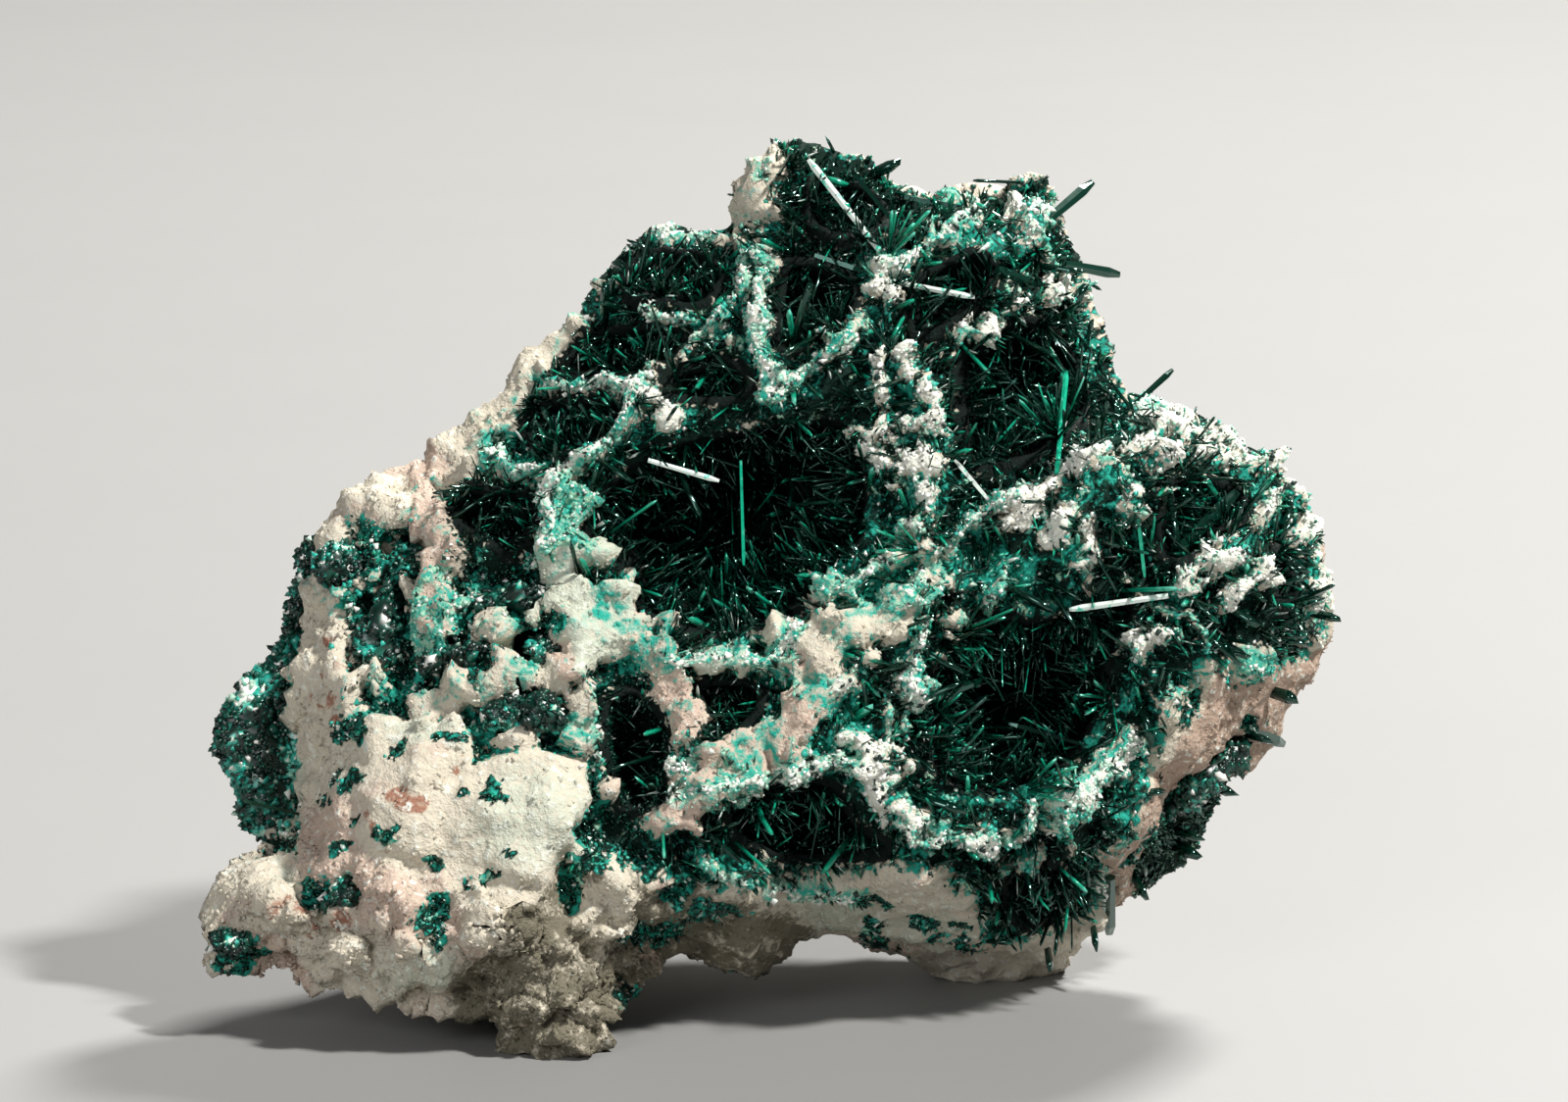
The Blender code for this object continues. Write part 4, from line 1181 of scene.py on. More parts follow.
@dataclass
class Rock:
    """The rock, with its knobs, ridges and pockets.

    Attributes:
        voxel_mm: the length of its faces' sides.
        noise: what makes it uneven.
        material: its look.
        places: its points on the face, in millimetres.
        faces: its faces.
        normals: its points' directions in the face frame.
        ground: what covers each of its points.
    """

    voxel_mm: float = 0.405
    noise: Noise = Noise(1)
    material: bpy.types.Material = field(default_factory=lambda: RockFinish().build())
    places: Array = field(init=False)
    faces: Array = field(init=False)
    normals: Array = field(init=False)
    ground: Ground = field(init=False)

    def build(self) -> bpy.types.Object:
        """Shapes and paints the rock.

        Returns:
            The rock.
        """
        mesh = remeshed(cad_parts["matrix_rock"], self.voxel_mm, 0.2)
        self.places, self.faces, self.normals = mesh_arrays(mesh)
        pit = self._pit()
        self.ground = Ground.at(self.places, self.normals, pit)
        self.places = self.places + self.normals * self._relief()[:, None]
        self.places += TIP.share(self.places[:, :2])[:, None] * np.array(TIP_SHIFT)
        self.places = self._settled(self.places)
        mesh.vertices.foreach_set("co", FACE.to_row(self.places).astype(np.float32).ravel())
        mesh.update()
        for name in Ground.painted():
            paint(mesh, name, getattr(self.ground, name))
        mesh.shade_smooth()
        mesh.materials.clear()
        mesh.materials.append(self.material)
        self.places, self.faces, self.normals = mesh_arrays(mesh)
        obj = bpy.data.objects.new("rock_surface", mesh)
        bpy.context.scene.collection.objects.link(obj)
        return dressed(obj, "rock", "matrix_rock")

    def _pit(self) -> Array:
        """Finds the points inside a pocket, which are those near a bed of crystals.

        Returns:
            From 0 to 1 for each point.
        """
        share = np.zeros(len(self.places))
        points = FACE.to_row(self.places)
        for name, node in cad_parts.items():
            if not name.startswith("bed_"):
                continue
            low, high = (np.array(corner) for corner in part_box(name))
            low, high = low - POCKET_REACH_MM * MM, high + POCKET_REACH_MM * MM
            near = np.flatnonzero(((points > low) & (points < high)).all(axis=1))
            tree = BVHTree.FromPolygons(
                [v.co for v in node.data.vertices], [p.vertices for p in node.data.polygons])
            for i in near:
                _, _, _, distance = tree.find_nearest(Vector(points[i]), POCKET_REACH_MM * MM)
                if distance is not None:
                    share[i] = max(share[i], 1 - max(0.0, distance / MM - BED_GAP_MM) / POCKET_EDGE_MM)
        return np.clip(share, 0, 1)

    def _relief(self) -> Array:
        """Adds up the rock's knobs, crags, walls and hollows.

        Returns:
            How far each point moves out along its normal, in millimetres.
        """
        p, noise, ground = self.places, self.noise, self.ground
        outside = 1 - ground.pit
        front = smooth(-0.1, 0.3, self.normals[:, 2])
        knobby = np.maximum(smooth(14.0, 9.0, p[:, 1]) * smooth(-6.0, -9.0, p[:, 0]), 0.18)
        knobby = np.maximum(knobby, 0.55 * smooth(7.5, 5.0, heights(p)))
        relief = (0.35 + 0.65 * outside) * (
            0.6 * noise.layered(p, 4.5, 2) + 0.22 * noise.layered(p, 1.4, 3, 30))
        crags = 0.60 * noise.creases(p, 2.2) + 0.42 * noise.creases(p + 7.0, 1.2)
        relief += outside * knobby * (0.34 * noise.lumps(p, 2.8) + crags)
        relief += outside * (0.22 * noise.creases(p, 2.6) + 0.14 * noise.lumps(p, 1.0))
        relief += 0.3 * smooth(0.2, 0.6, ground.raised) * outside * noise.creases(p, 1.3)
        foot = smooth(8.0, 3.0, heights(p)) * smooth(-7.0, -9.0, p[:, 0]) * smooth(1.0, 3.0, p[:, 2])
        foot *= smooth(-0.85, -0.55, self.normals @ FACE.axes()[:, 2])
        relief -= foot * (1.7 + 1.0 * noise.creases(p, 2.6) + 0.5 * noise.creases(p + 3.0, 1.3))
        relief += ground.raised * (0.85 + 0.5 * noise.value(p, 1.3, 80)) + 0.25
        relief -= ground.open * front * (0.9 + 1.3 * smooth(-0.4, 0.6, noise.layered(p, 3.6, 2, 90)))
        return relief

    def _settled(self, places: Array) -> Array:
        """Keeps every point at or above the floor.

        Args:
            places: face places in millimetres.

        Returns:
            The same places, with those below the floor raised to it.
        """
        row = FACE.to_row(places)
        row[:, 2] = np.maximum(row[:, 2], 0.0)
        return FACE.to_face(row)

    def corners(self) -> Array:
        """The corners of each face."""
        return self.places[self.faces]

    def on_faces(self, values: Array) -> Array:
        """The mean on each face of values given at the points."""
        return values[self.faces].mean(axis=1)

    def search_tree(self) -> BVHTree:
        """A tree that finds where a line meets the rock, in face millimetres."""
        return BVHTree.FromPolygons(self.places.tolist(), self.faces.tolist())


def dressed(obj: bpy.types.Object, slot: str, *nodes: str) -> bpy.types.Object:
    """Gives a piece its body, and hides the solids that it stands for.

    Args:
        obj: the piece.
        slot: not used.
        nodes: the solids' names.

    Returns:
        The piece.
    """
    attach(obj, BODY)
    for node in nodes:
        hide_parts(node)
    return obj


PRISM_FACES = (
    (0, 1, 5, 4), (1, 2, 6, 5), (2, 3, 7, 6), (3, 0, 4, 7), (3, 2, 1, 0),
    (4, 5, 8), (5, 9, 8), (5, 6, 9), (6, 7, 9), (7, 8, 9), (7, 4, 8))
PRISM_SHADING = (-0.35,) * 4 + (0.0,) * 4 + (0.12,) * 2
SPIKE_SHADING = (-0.3,) * 3 + (0.0,) * 3 + (0.1,)
SPIKE_FACES = ((0, 1, 4, 3), (1, 2, 5, 4), (2, 0, 3, 5), (2, 1, 0), (3, 4, 6), (4, 5, 6), (5, 3, 6))
GRAIN_POINTS = np.array([(1, 0, 0), (-1, 0, 0), (0, 1, 0), (0, -1, 0), (0, 0, 1), (0, 0, -1)]) * 0.62
GRAIN_FACES = (
    (0, 2, 4), (2, 1, 4), (1, 3, 4), (3, 0, 4), (2, 0, 5), (1, 2, 5), (3, 1, 5), (0, 3, 5))


def unit(vectors: Array) -> Array:
    """The same directions with a length of 1."""
    return vectors / np.maximum(np.linalg.norm(vectors, axis=1, keepdims=True), TINY)


def heights(places: Array) -> Array:
    """How high places are above the floor, in millimetres."""
    return FACE.to_row(places)[:, 2] / MM


def prisms(roots: Array, ways: Array, lengths: Array, widths: Array,
           rng: np.random.Generator) -> Array:
    """The points of flattened prisms with chisel ends.

    Args:
        roots: where each starts.
        ways: the direction in which each grows.
        lengths: how long each is.
        widths: how wide each is.
        rng: the source of each one's turn and thickness.

    Returns:
        Ten points for each prism.
    """
    count = len(roots)
    side = unit(np.cross(ways, rng.normal(size=(count, 3))))
    other = np.cross(ways, side)
    half = widths[:, None] / 2
    thick = half * rng.uniform(0.45, 0.9, (count, 1))
    shoulder = roots + ways * (lengths - np.minimum(1.3 * widths, 0.35 * lengths))[:, None]
    tip = roots + ways * lengths[:, None]
    ring = [(side, half), (other, thick), (-side, half), (-other, thick)]
    base = [roots + direction * size * 0.9 for direction, size in ring]
    upper = [shoulder + direction * size for direction, size in ring]
    ends = [tip + side * half * 0.5, tip - side * half * 0.5 - ways * widths[:, None] * 0.3]
    return np.stack([*base, *upper, *ends], axis=1)


def spikes(roots: Array, ways: Array, lengths: Array, widths: Array,
           rng: np.random.Generator) -> Array:
    """The points of small three-sided crystals.

    Args:
        roots: where each starts.
        ways: the direction in which each grows.
        lengths: how long each is.
        widths: how wide each is.
        rng: the source of each one's turn.

    Returns:
        Seven points for each crystal.
    """
    side = unit(np.cross(ways, rng.normal(size=(len(roots), 3))))
    other = np.cross(ways, side)
    half = widths[:, None] / 2
    turns = [2 * math.pi * i / 3 for i in range(3)]
    ring = [half * (math.cos(turn) * side + math.sin(turn) * other) for turn in turns]
    shoulder = roots + ways * (0.7 * lengths)[:, None]
    return np.stack([*(roots + r for r in ring), *(shoulder + r for r in ring),
                     roots + ways * lengths[:, None]], axis=1)


def quad_areas(corners: Array) -> Array:
    """The area of each face, in square millimetres."""
    return np.linalg.norm(np.cross(corners[:, 1] - corners[:, 0], corners[:, 3] - corners[:, 0]), axis=1)


def quad_normals(corners: Array) -> Array:
    """The direction of each face."""
    return unit(np.cross(corners[:, 2] - corners[:, 0], corners[:, 3] - corners[:, 1]))


def places_on(corners: Array, chosen: Array, rng: np.random.Generator) -> Array:
    """Picks a place on each chosen face.

    Args:
        corners: the corners of every face.
        chosen: the numbers of the chosen ones.
        rng: the source of the places.

    Returns:
        A place for each chosen face.
    """
    a, b = rng.random((2, len(chosen), 1))
    low = (1 - a) * corners[chosen, 0] + a * corners[chosen, 1]
    high = (1 - a) * corners[chosen, 3] + a * corners[chosen, 2]
    return (1 - b) * low + b * high


@dataclass(frozen=True)
class Growth:
    """How crystals grow on a surface.

    Attributes:
        density: crystals on a square millimetre.
        length_mm: the shortest and the longest.
        width_mm: the thinnest and the widest.
        spread: how far they lean off the surface's normal.
        lift: how much they turn out of the face.
        sprays: the share of them that fan out from a shared root.
        bright: the share of them that light shines through.
        glints: the share of the short ones painted white as a highlight.
        tucked: whether those that would pass the specimen's outline stay short.
    """

    density: float
    length_mm: tuple[float, float]
    width_mm: tuple[float, float]
    spread: float = 0.9
    lift: float = 0.3
    sprays: float = 0.0
    bright: float = 0.08
    glints: float = 0.05
    tucked: bool = True


BACKWARD = Vector((0, 0, -1))
SPRAY_SIZE = 26
# Crystals shorter than this are spikes, and the others are prisms.
SHORT_MM = 1.5
# Only crystals shorter than this can get the painted white highlight, GLINT_TONE.
GLINT_MM = 1.4
GLINT_TONE = 1.3
ROOT_DEPTH_MM = 0.2
SHORTEST_MM = 0.35


@dataclass
class Batch:
    """Crystals that grow together.

    Attributes:
        roots: where each starts, in face millimetres.
        ways: the direction in which each grows.
        lengths: how long each is.
        widths: how wide each is.
        tones: how bright each is.
    """

    roots: Array
    ways: Array
    lengths: Array
    widths: Array
    tones: Array

    def tips(self) -> Array:
        """Where each crystal ends."""
        return self.roots + self.ways * self.lengths[:, None]

    def stop_short(self, rock_tree: BVHTree, tucked: bool) -> None:
        """Shortens the crystals that meet the rock, pass its outline or hang over bare rock.

        Args:
            rock_tree: the rock.
            tucked: whether those that would pass its outline stay short.
        """
        starts = self.roots + self.ways * 0.25
        for i, (start, way) in enumerate(zip(starts.tolist(), self.ways.tolist())):
            _, _, _, distance = rock_tree.ray_cast(Vector(start), Vector(way), float(self.lengths[i]))
            if distance is not None:
                self.lengths[i] = max(SHORTEST_MM, distance + ROOT_DEPTH_MM)
                continue
            tip = Vector(start) + Vector(way) * self.lengths[i]
            if tucked and rock_tree.ray_cast(tip, BACKWARD)[0] is None:
                self.lengths[i] *= 0.35
        over_bare = GREEN_REGION.share(self.tips()[:, :2]) < 0.35
        self.lengths[over_bare & (self.lengths > 0.9)] *= 0.45

    def add_to(self, parts: MeshParts, rng: np.random.Generator) -> None:
        """Makes the shapes of those that clear the floor.

        Args:
            parts: what they are added to.
            rng: the source of each one's turn and thickness.
        """
        clear = (heights(self.roots) > 0.4) & (heights(self.tips()) > 0.1)
        for small, shape, faces, shading in (
                (True, spikes, SPIKE_FACES, SPIKE_SHADING), (False, prisms, PRISM_FACES, PRISM_SHADING)):
            mine = clear & ((self.lengths < SHORT_MM) == small)
            ways = self.ways[mine]
            points = shape(self.roots[mine] - ways * ROOT_DEPTH_MM, ways,
                           self.lengths[mine] + ROOT_DEPTH_MM, self.widths[mine], rng)
            parts.add(points, faces, self.tones[mine], shading)


def grown(parts: MeshParts, corners: Array, share: Array, glow: Array, growth: Growth,
          rock_tree: BVHTree, seed: int) -> None:
    """Grows crystals from faces.

    Args:
        parts: what they are added to.
        corners: the faces' corners, in face millimetres.
        share: how thickly each face is covered, from 0 to 1.
        glow: how much brighter the crystals on each face are.
        growth: how they grow.
        rock_tree: the rock, which they stop short of.
        seed: the number that makes this growth repeatable.
    """
    rng = np.random.default_rng(seed)
    weights = quad_areas(corners) * share
    count = int(weights.sum() * growth.density)
    if not count:
        return
    chosen = rng.choice(len(weights), count, p=weights / weights.sum())
    roots = places_on(corners, chosen, rng)
    normals = quad_normals(corners[chosen])
    swing = Noise(seed).direction(roots, 2.4) * 1.1 + rng.normal(size=(count, 3)) * 0.45
    tones = 0.62 * rng.random(count) ** 1.2 + 0.34 * (rng.random(count) < growth.bright)
    group = np.arange(count) // SPRAY_SIZE
    fans = (rng.random(group[-1] + 1) < growth.sprays)[group]
    leader = group * SPRAY_SIZE
    roots[fans] = roots[leader][fans] + rng.normal(size=(fans.sum(), 3)) * 0.12
    normals[fans] = normals[leader][fans]
    swing[fans] = unit(rng.normal(size=(count, 3)))[fans] * 1.25
    tones[fans] = 0.6 * tones[leader][fans] + 0.4 * tones[fans] + 0.08
    tones = tones + 0.4 * glow[chosen] * rng.random(count)
    ways = unit(normals + growth.spread * swing + np.array([0, 0, growth.lift]))
    inward = (ways * normals).sum(axis=1) < 0.15
    ways[inward] = unit(ways[inward] + 0.8 * normals[inward])
    short, long = growth.length_mm
    lengths = short + (long - short) * rng.beta(1.5, 3.0, count)
    thin, wide = growth.width_mm
    widths = (thin + (wide - thin) * rng.beta(1.3, 3.6, count)) * (0.55 + 0.45 * lengths / long)
    lengths = lengths * (1 - 0.5 * np.clip(glow[chosen], 0, 1))
    # A few short crystals are painted white, as a highlight where they catch the light.
    tones[(lengths < GLINT_MM) & (rng.random(count) < growth.glints)] = GLINT_TONE
    batch = Batch(roots, ways, lengths, widths, tones)
    batch.stop_short(rock_tree, growth.tucked)
    batch.add_to(parts, rng)


@dataclass(frozen=True)
class Needle:
    """A single crystal that can be told apart, from its root to its tip on the face.

    Attributes:
        root, tip: its two ends, across and up.
        width: how wide it is.
        tone: how bright it is.
    """

    root: tuple[float, float]
    tip: tuple[float, float]
    width: float = 0.3
    tone: float = 0.9


def needles(*rows: tuple[float, ...]) -> tuple[Needle, ...]:
    """Makes crystals from rows of a root, a tip and, for some, a width and a tone."""
    return tuple(Needle(row[:2], row[2:4], *row[4:]) for row in rows)


NEEDLES = needles(
    (4.7, 55.5, 7.3, 51.6, 0.35), (7.5, 56.8, 12.5, 55.2, 0.3), (4.5, 55.7, 8.5, 56.0, 0.3, 0.4),
    (7.8, 52.0, 10.5, 54.8), (7.8, 52.0, 9.5, 54.0), (7.8, 52.0, 8.3, 54.8), (21.0, 43.7, 23.2, 43.2),
    (14.5, 43.0, 16.4, 42.2), (15.0, 42.5, 17.8, 40.3), (-7.7, 38.0, -7.8, 35.8), (-7.2, 37.0, -6.7, 33.5),
    (1.4, 39.2, 1.4, 37.2, 0.25), (4.0, 34.9, 5.5, 33.8), (-10.8, 34.7, -10.1, 33.0),
    (-11.3, 35.6, -11.2, 33.8), (-5.8, 31.7, -3.7, 30.6), (-0.7, 31.8, 1.4, 32.6), (10.4, 34.2, 11.6, 32.6),
    (-9.3, 47.2, -8.4, 45.4), (-9.5, 48.2, -5.0, 47.2, 0.25, 0.3), (-16.8, 39.8, -15.7, 41.1),
    (-18.8, 38.6, -18.1, 37.8), (25.9, 37.2, 26.5, 32.4, 0.6, 0.1), (19.7, 10.8, 19.3, 7.8, 0.35),
    (17.2, 9.7, 18.1, 7.4, 0.25), (9.5, 19.3, 10.4, 18.3), (6.4, 57.6, 8.8, 58.6, 0.8, 0.1),
    (26.6, 14.6, 28.8, 13.8, 0.8, 0.1), (18.4, 6.8, 18.6, 5.1, 0.6, 0.1),
    (35.6, 28.8, 37.6, 28.3, 0.6, 0.1), (24.0, 11.6, 25.0, 9.8, 0.9, 0.0),
    (26.6, 13.8, 28.6, 12.6, 0.8, 0.0), (29.0, 17.6, 31.0, 16.8, 0.8, 0.0),
    (31.4, 20.8, 33.2, 20.3, 1.0, 0.0), (33.0, 23.6, 34.8, 23.0, 0.9, 0.0),
    (21.4, 8.4, 21.6, 6.4, 0.7, 0.0), (30.0, 33.6, 29.0, 30.8, 0.3, 0.3),
    (21.6, 47.2, 19.6, 44.2, 0.3, 0.5), (12.0, 46.6, 14.4, 44.0, 0.3, 0.9),
    (7.5, 21.9, 12.5, 24.0, 0.6, 0.2), (13.6, 22.8, 15.9, 20.5, 0.8, 0.3),
    (23.8, 23.4, 24.8, 19.8, 1.0, 0.25), (27.2, 33.2, 29.9, 35.5, 0.9, 0.3),
    (8.8, 16.9, 12.9, 15.5, 1.0, 0.15), (11.1, 18.6, 14.8, 20.1, 0.6, 0.25),
    (14.6, 30.6, 18.4, 28.5, 0.7, 0.2), (11.5, 23.4, 11.3, 19.6, 0.7, 0.2),
    (20.0, 27.5, 25.0, 29.2, 0.7, 0.3), (28.9, 29.4, 31.8, 27.6, 0.7, 0.25),
    (18.4, 46.8, 20.9, 50.4, 0.8, 0.2), (11.4, 50.2, 14.9, 49.2, 0.7, 0.25),
    (16.6, 51.6, 20.8, 50.9, 0.7, 0.2), (2.6, 57.4, 2.2, 53.2, 1.0, 0.2), (1.2, 58.8, 1.0, 54.6, 0.9, 0.1),
    (3.7, 58.2, 3.3, 54.0, 0.8, 0.3), (-9.6, 53.6, -9.9, 50.2, 0.9, 0.1),
    (-7.8, 53.4, -8.4, 49.6, 0.8, 0.3), (-5.6, 53.0, -6.4, 50.0, 0.8, 0.2))


@dataclass(frozen=True)
class Fan:
    """A spray of fine crystals that can be told apart.

    Attributes:
        root: where they start, across and up.
        turn_deg: the direction of the middle one.
        spread_deg: the angle between the outer two.
        length_mm: the length of the middle one.
        tone: how bright they are.
        count: how many there are.
    """

    root: tuple[float, float]
    turn_deg: float
    spread_deg: float
    length_mm: float
    tone: float = 0.9
    count: int = 9

    def needles(self) -> list[Needle]:
        """Makes its crystals, which are shorter towards both sides and of three sorts in turn.

        Returns:
            The crystals.
        """
        made = []
        for i, side in enumerate(np.linspace(-1, 1, self.count).tolist()):
            shorter, width, brighter = ((1.0, 0.26, 0.05), (0.7, 0.16, -0.25), (0.85, 0.2, -0.1))[i % 3]
            turn = math.radians(self.turn_deg + side * self.spread_deg / 2 + 4 * (i % 3 - 1))
            length = self.length_mm * (1 - 0.35 * abs(side)) * shorter
            tip = (self.root[0] + length * math.cos(turn), self.root[1] + length * math.sin(turn))
            made.append(Needle(self.root, tip, width, self.tone + brighter))
        return made


FANS = (
    Fan((7.8, 51.8), 75, 60, 3.6), Fan((14.2, 22.6), -5, 55, 4.8, 0.95, 11),
    Fan((16.4, 17.0), 22, 65, 4.2, 0.95, 11), Fan((-7.9, 38.0), -60, 80, 3.2),
    Fan((9.8, 32.5), 170, 70, 3.6), Fan((-14.2, 38.6), 90, 90, 2.6, 0.85),
    Fan((18.6, 39.8), 120, 70, 4.2, 0.85), Fan((-1.8, 14.6), 60, 80, 3.0, 0.8),
    Fan((24.6, 31.0), 95, 50, 4.2, 0.85), Fan((12.6, 27.6), -60, 60, 3.6),
    Fan((20.6, 24.6), 200, 60, 3.8, 0.85), Fan((10.4, 21.4), 30, 70, 3.4, 0.85),
    Fan((10.6, 19.6), 20, 100, 3.0, 1.0), Fan((12.4, 17.6), 60, 100, 2.8, 1.0),
    Fan((11.6, 24.4), -30, 80, 2.8, 1.0), Fan((19.6, 19.6), 150, 90, 2.8, 1.0),
    Fan((22.4, 23.0), 190, 90, 2.8, 0.95))


@dataclass
class Crystals:
    """The green crystals that line the pockets and grow on the rock's face.

    Attributes:
        rock: the rock they grow on.
        finish: their look.
        pocket: how they grow in the pockets.
        open_face: how they grow on the face between the pockets.
        blades: how the long ones among them grow.
        patch: how they grow in the small patches, on the back and where they stay short.
    """

    rock: Rock
    finish: CrystalFinish = CrystalFinish("crystal_bed")
    pocket: Growth = Growth(3.0, (0.9, 6.5), (0.10, 0.48), 0.85, 0.35, 0.35, 0.26, 0.09)
    open_face: Growth = Growth(4.8, (0.5, 2.8), (0.10, 0.42), 1.05, 0.25, 0.3, 0.24, 0.08)
    blades: Growth = Growth(0.40, (2.0, 6.0), (0.28, 0.8), 1.5, 0.15, 0.0, 0.24)
    patch: Growth = Growth(8.0, (0.25, 0.9), (0.16, 0.55), 1.1, 0.0)

    def build(self) -> list[bpy.types.Object]:
        """Grows every bed, each with the open ground nearest to it.

        Returns:
            The beds.
        """
        material = self.finish.build()
        corners = self.rock.corners()
        shares = self._shares(corners)
        stain = self.rock.on_faces(self.rock.ground.stain)
        tree = self.rock.search_tree()
        names = [name for name in sorted(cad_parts) if name.startswith("bed_")]
        middles = FACE.to_face(np.array([np.mean([np.array(c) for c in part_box(n)], axis=0) for n in names]))
        nearest = self._nearest(corners.mean(axis=1), middles)
        singles = [*NEEDLES, *(needle for fan in FANS for needle in fan.needles())]
        roots = np.array([(*needle.root, 0.0) for needle in singles])
        owners = self._nearest(roots, middles * np.array([1, 1, 0]))
        pieces = []
        for i, name in enumerate(names):
            mine = nearest == i
            growths = (self._pocket(name), self.open_face, self.blades, self.patch)
            parts = MeshParts()
            for k, (share, growth) in enumerate(zip(shares, growths)):
                grown(parts, corners[mine], share[mine], stain[mine], growth, tree, 100 * (k + 1) + i)
            self._single(parts, [needle for needle, owner in zip(singles, owners) if owner == i], tree)
            pieces.append(dressed(parts.build(name + "_crystals", material), "crystal_bed", name))
            LOG.info("%s: %d triangles", name, parts.triangles())
        return pieces

    def _shares(self, corners: Array) -> tuple[Array, ...]:
        """Works out where each kind of growth grows.

        Args:
            corners: the corners of the rock's faces.

        Returns:
            How thickly each face is covered by pocket, open_face, blades and patch.
        """
        ground = self.rock.ground
        pit, green, spots, stain, grainy, wall, lined = (self.rock.on_faces(values) for values in (
            ground.pit, ground.open, ground.spots, ground.stain, ground.grainy,
            np.maximum(ground.sugar, ground.crust), ground.green))
        inside, long = pit > 0.5, 1 - grainy
        back = lined * (quad_normals(corners)[:, 2] < 0) * (pit < 0.5)
        covered = (green > 0.4) * green * (1 - 0.55 * stain)
        small = [spots > 0.5, back > 0.5, covered * grainy, 0.7 * inside * grainy]
        return (inside * (0.15 + 0.85 * long), np.maximum(covered, 0.25 * wall) * long,
                (inside | (green > 0.4)) * long, np.maximum.reduce(small))

    def _pocket(self, name: str) -> Growth:
        """Fits the growth in a pocket to the pocket's size.

        Args:
            name: the name of the pocket's bed.

        Returns:
            The growth, with shorter crystals in a smaller pocket.
        """
        low, high = (np.array(corner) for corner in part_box(name))
        reach = float(np.linalg.norm(high - low) / MM)
        scale = min(1.0, max(0.35, reach / 22))
        return replace(self.pocket, length_mm=(0.7, 1.4 + 5.8 * scale))

    @staticmethod
    def _nearest(places: Array, middles: Array) -> Array:
        """The number of the middle that is nearest to each place."""
        return np.argmin(((places[:, None] - middles[None]) ** 2).sum(axis=2), axis=1)

    @staticmethod
    def _single(parts: MeshParts, needles: list[Needle], tree: BVHTree) -> None:
        """Adds the crystals that can be told apart.

        Args:
            parts: what they are added to.
            needles: the crystals.
            tree: the rock, on which their roots stand.
        """
        rng = np.random.default_rng(len(needles))
        for needle in needles:
            below, beyond = (tree.ray_cast(Vector((*end, 40.0)), BACKWARD)[0]
                             for end in (needle.root, needle.tip))
            if below is None:
                continue
            rise = beyond.z - below.z + 0.2 if beyond is not None else 0.0
            root = np.array([*needle.root, below.z - 0.4])
            tip = np.array([*needle.tip, below.z + 0.7 + min(max(rise, 0.0), 2.0)])
            length = np.linalg.norm(tip - root)
            points = prisms(root[None], ((tip - root) / length)[None], np.array([length]),
                            np.array([needle.width]), rng)
            parts.add(points, PRISM_FACES, np.array([needle.tone]), PRISM_SHADING)


# Where the crusts are pale turquoise.
PALE_LUMPS = spots(
    (-35.0, 23.6, 1.4, 1.5), (-33.0, 14.0, 1.1, 0.9), (-30.6, 18.0, 0.8, 5.0), (-33.0, 29.0, 0.8, 2.4))
# The crust down the left edge is three rough bodies, and the one on the heel is set into the rock.
EDGE_CRUST = "crust_left_edge"
EDGE_STRETCH = (1.15, 1.02, 0.7)
EDGE_SHIFTS = ((0.4, 0.0, -1.0), (2.8, 2.6, -1.6), (2.2, -2.4, -1.8))
HEEL_CRUST = "crust_heel_patch"
HEEL_SHIFT = (-0.5, -0.7, -1.3)


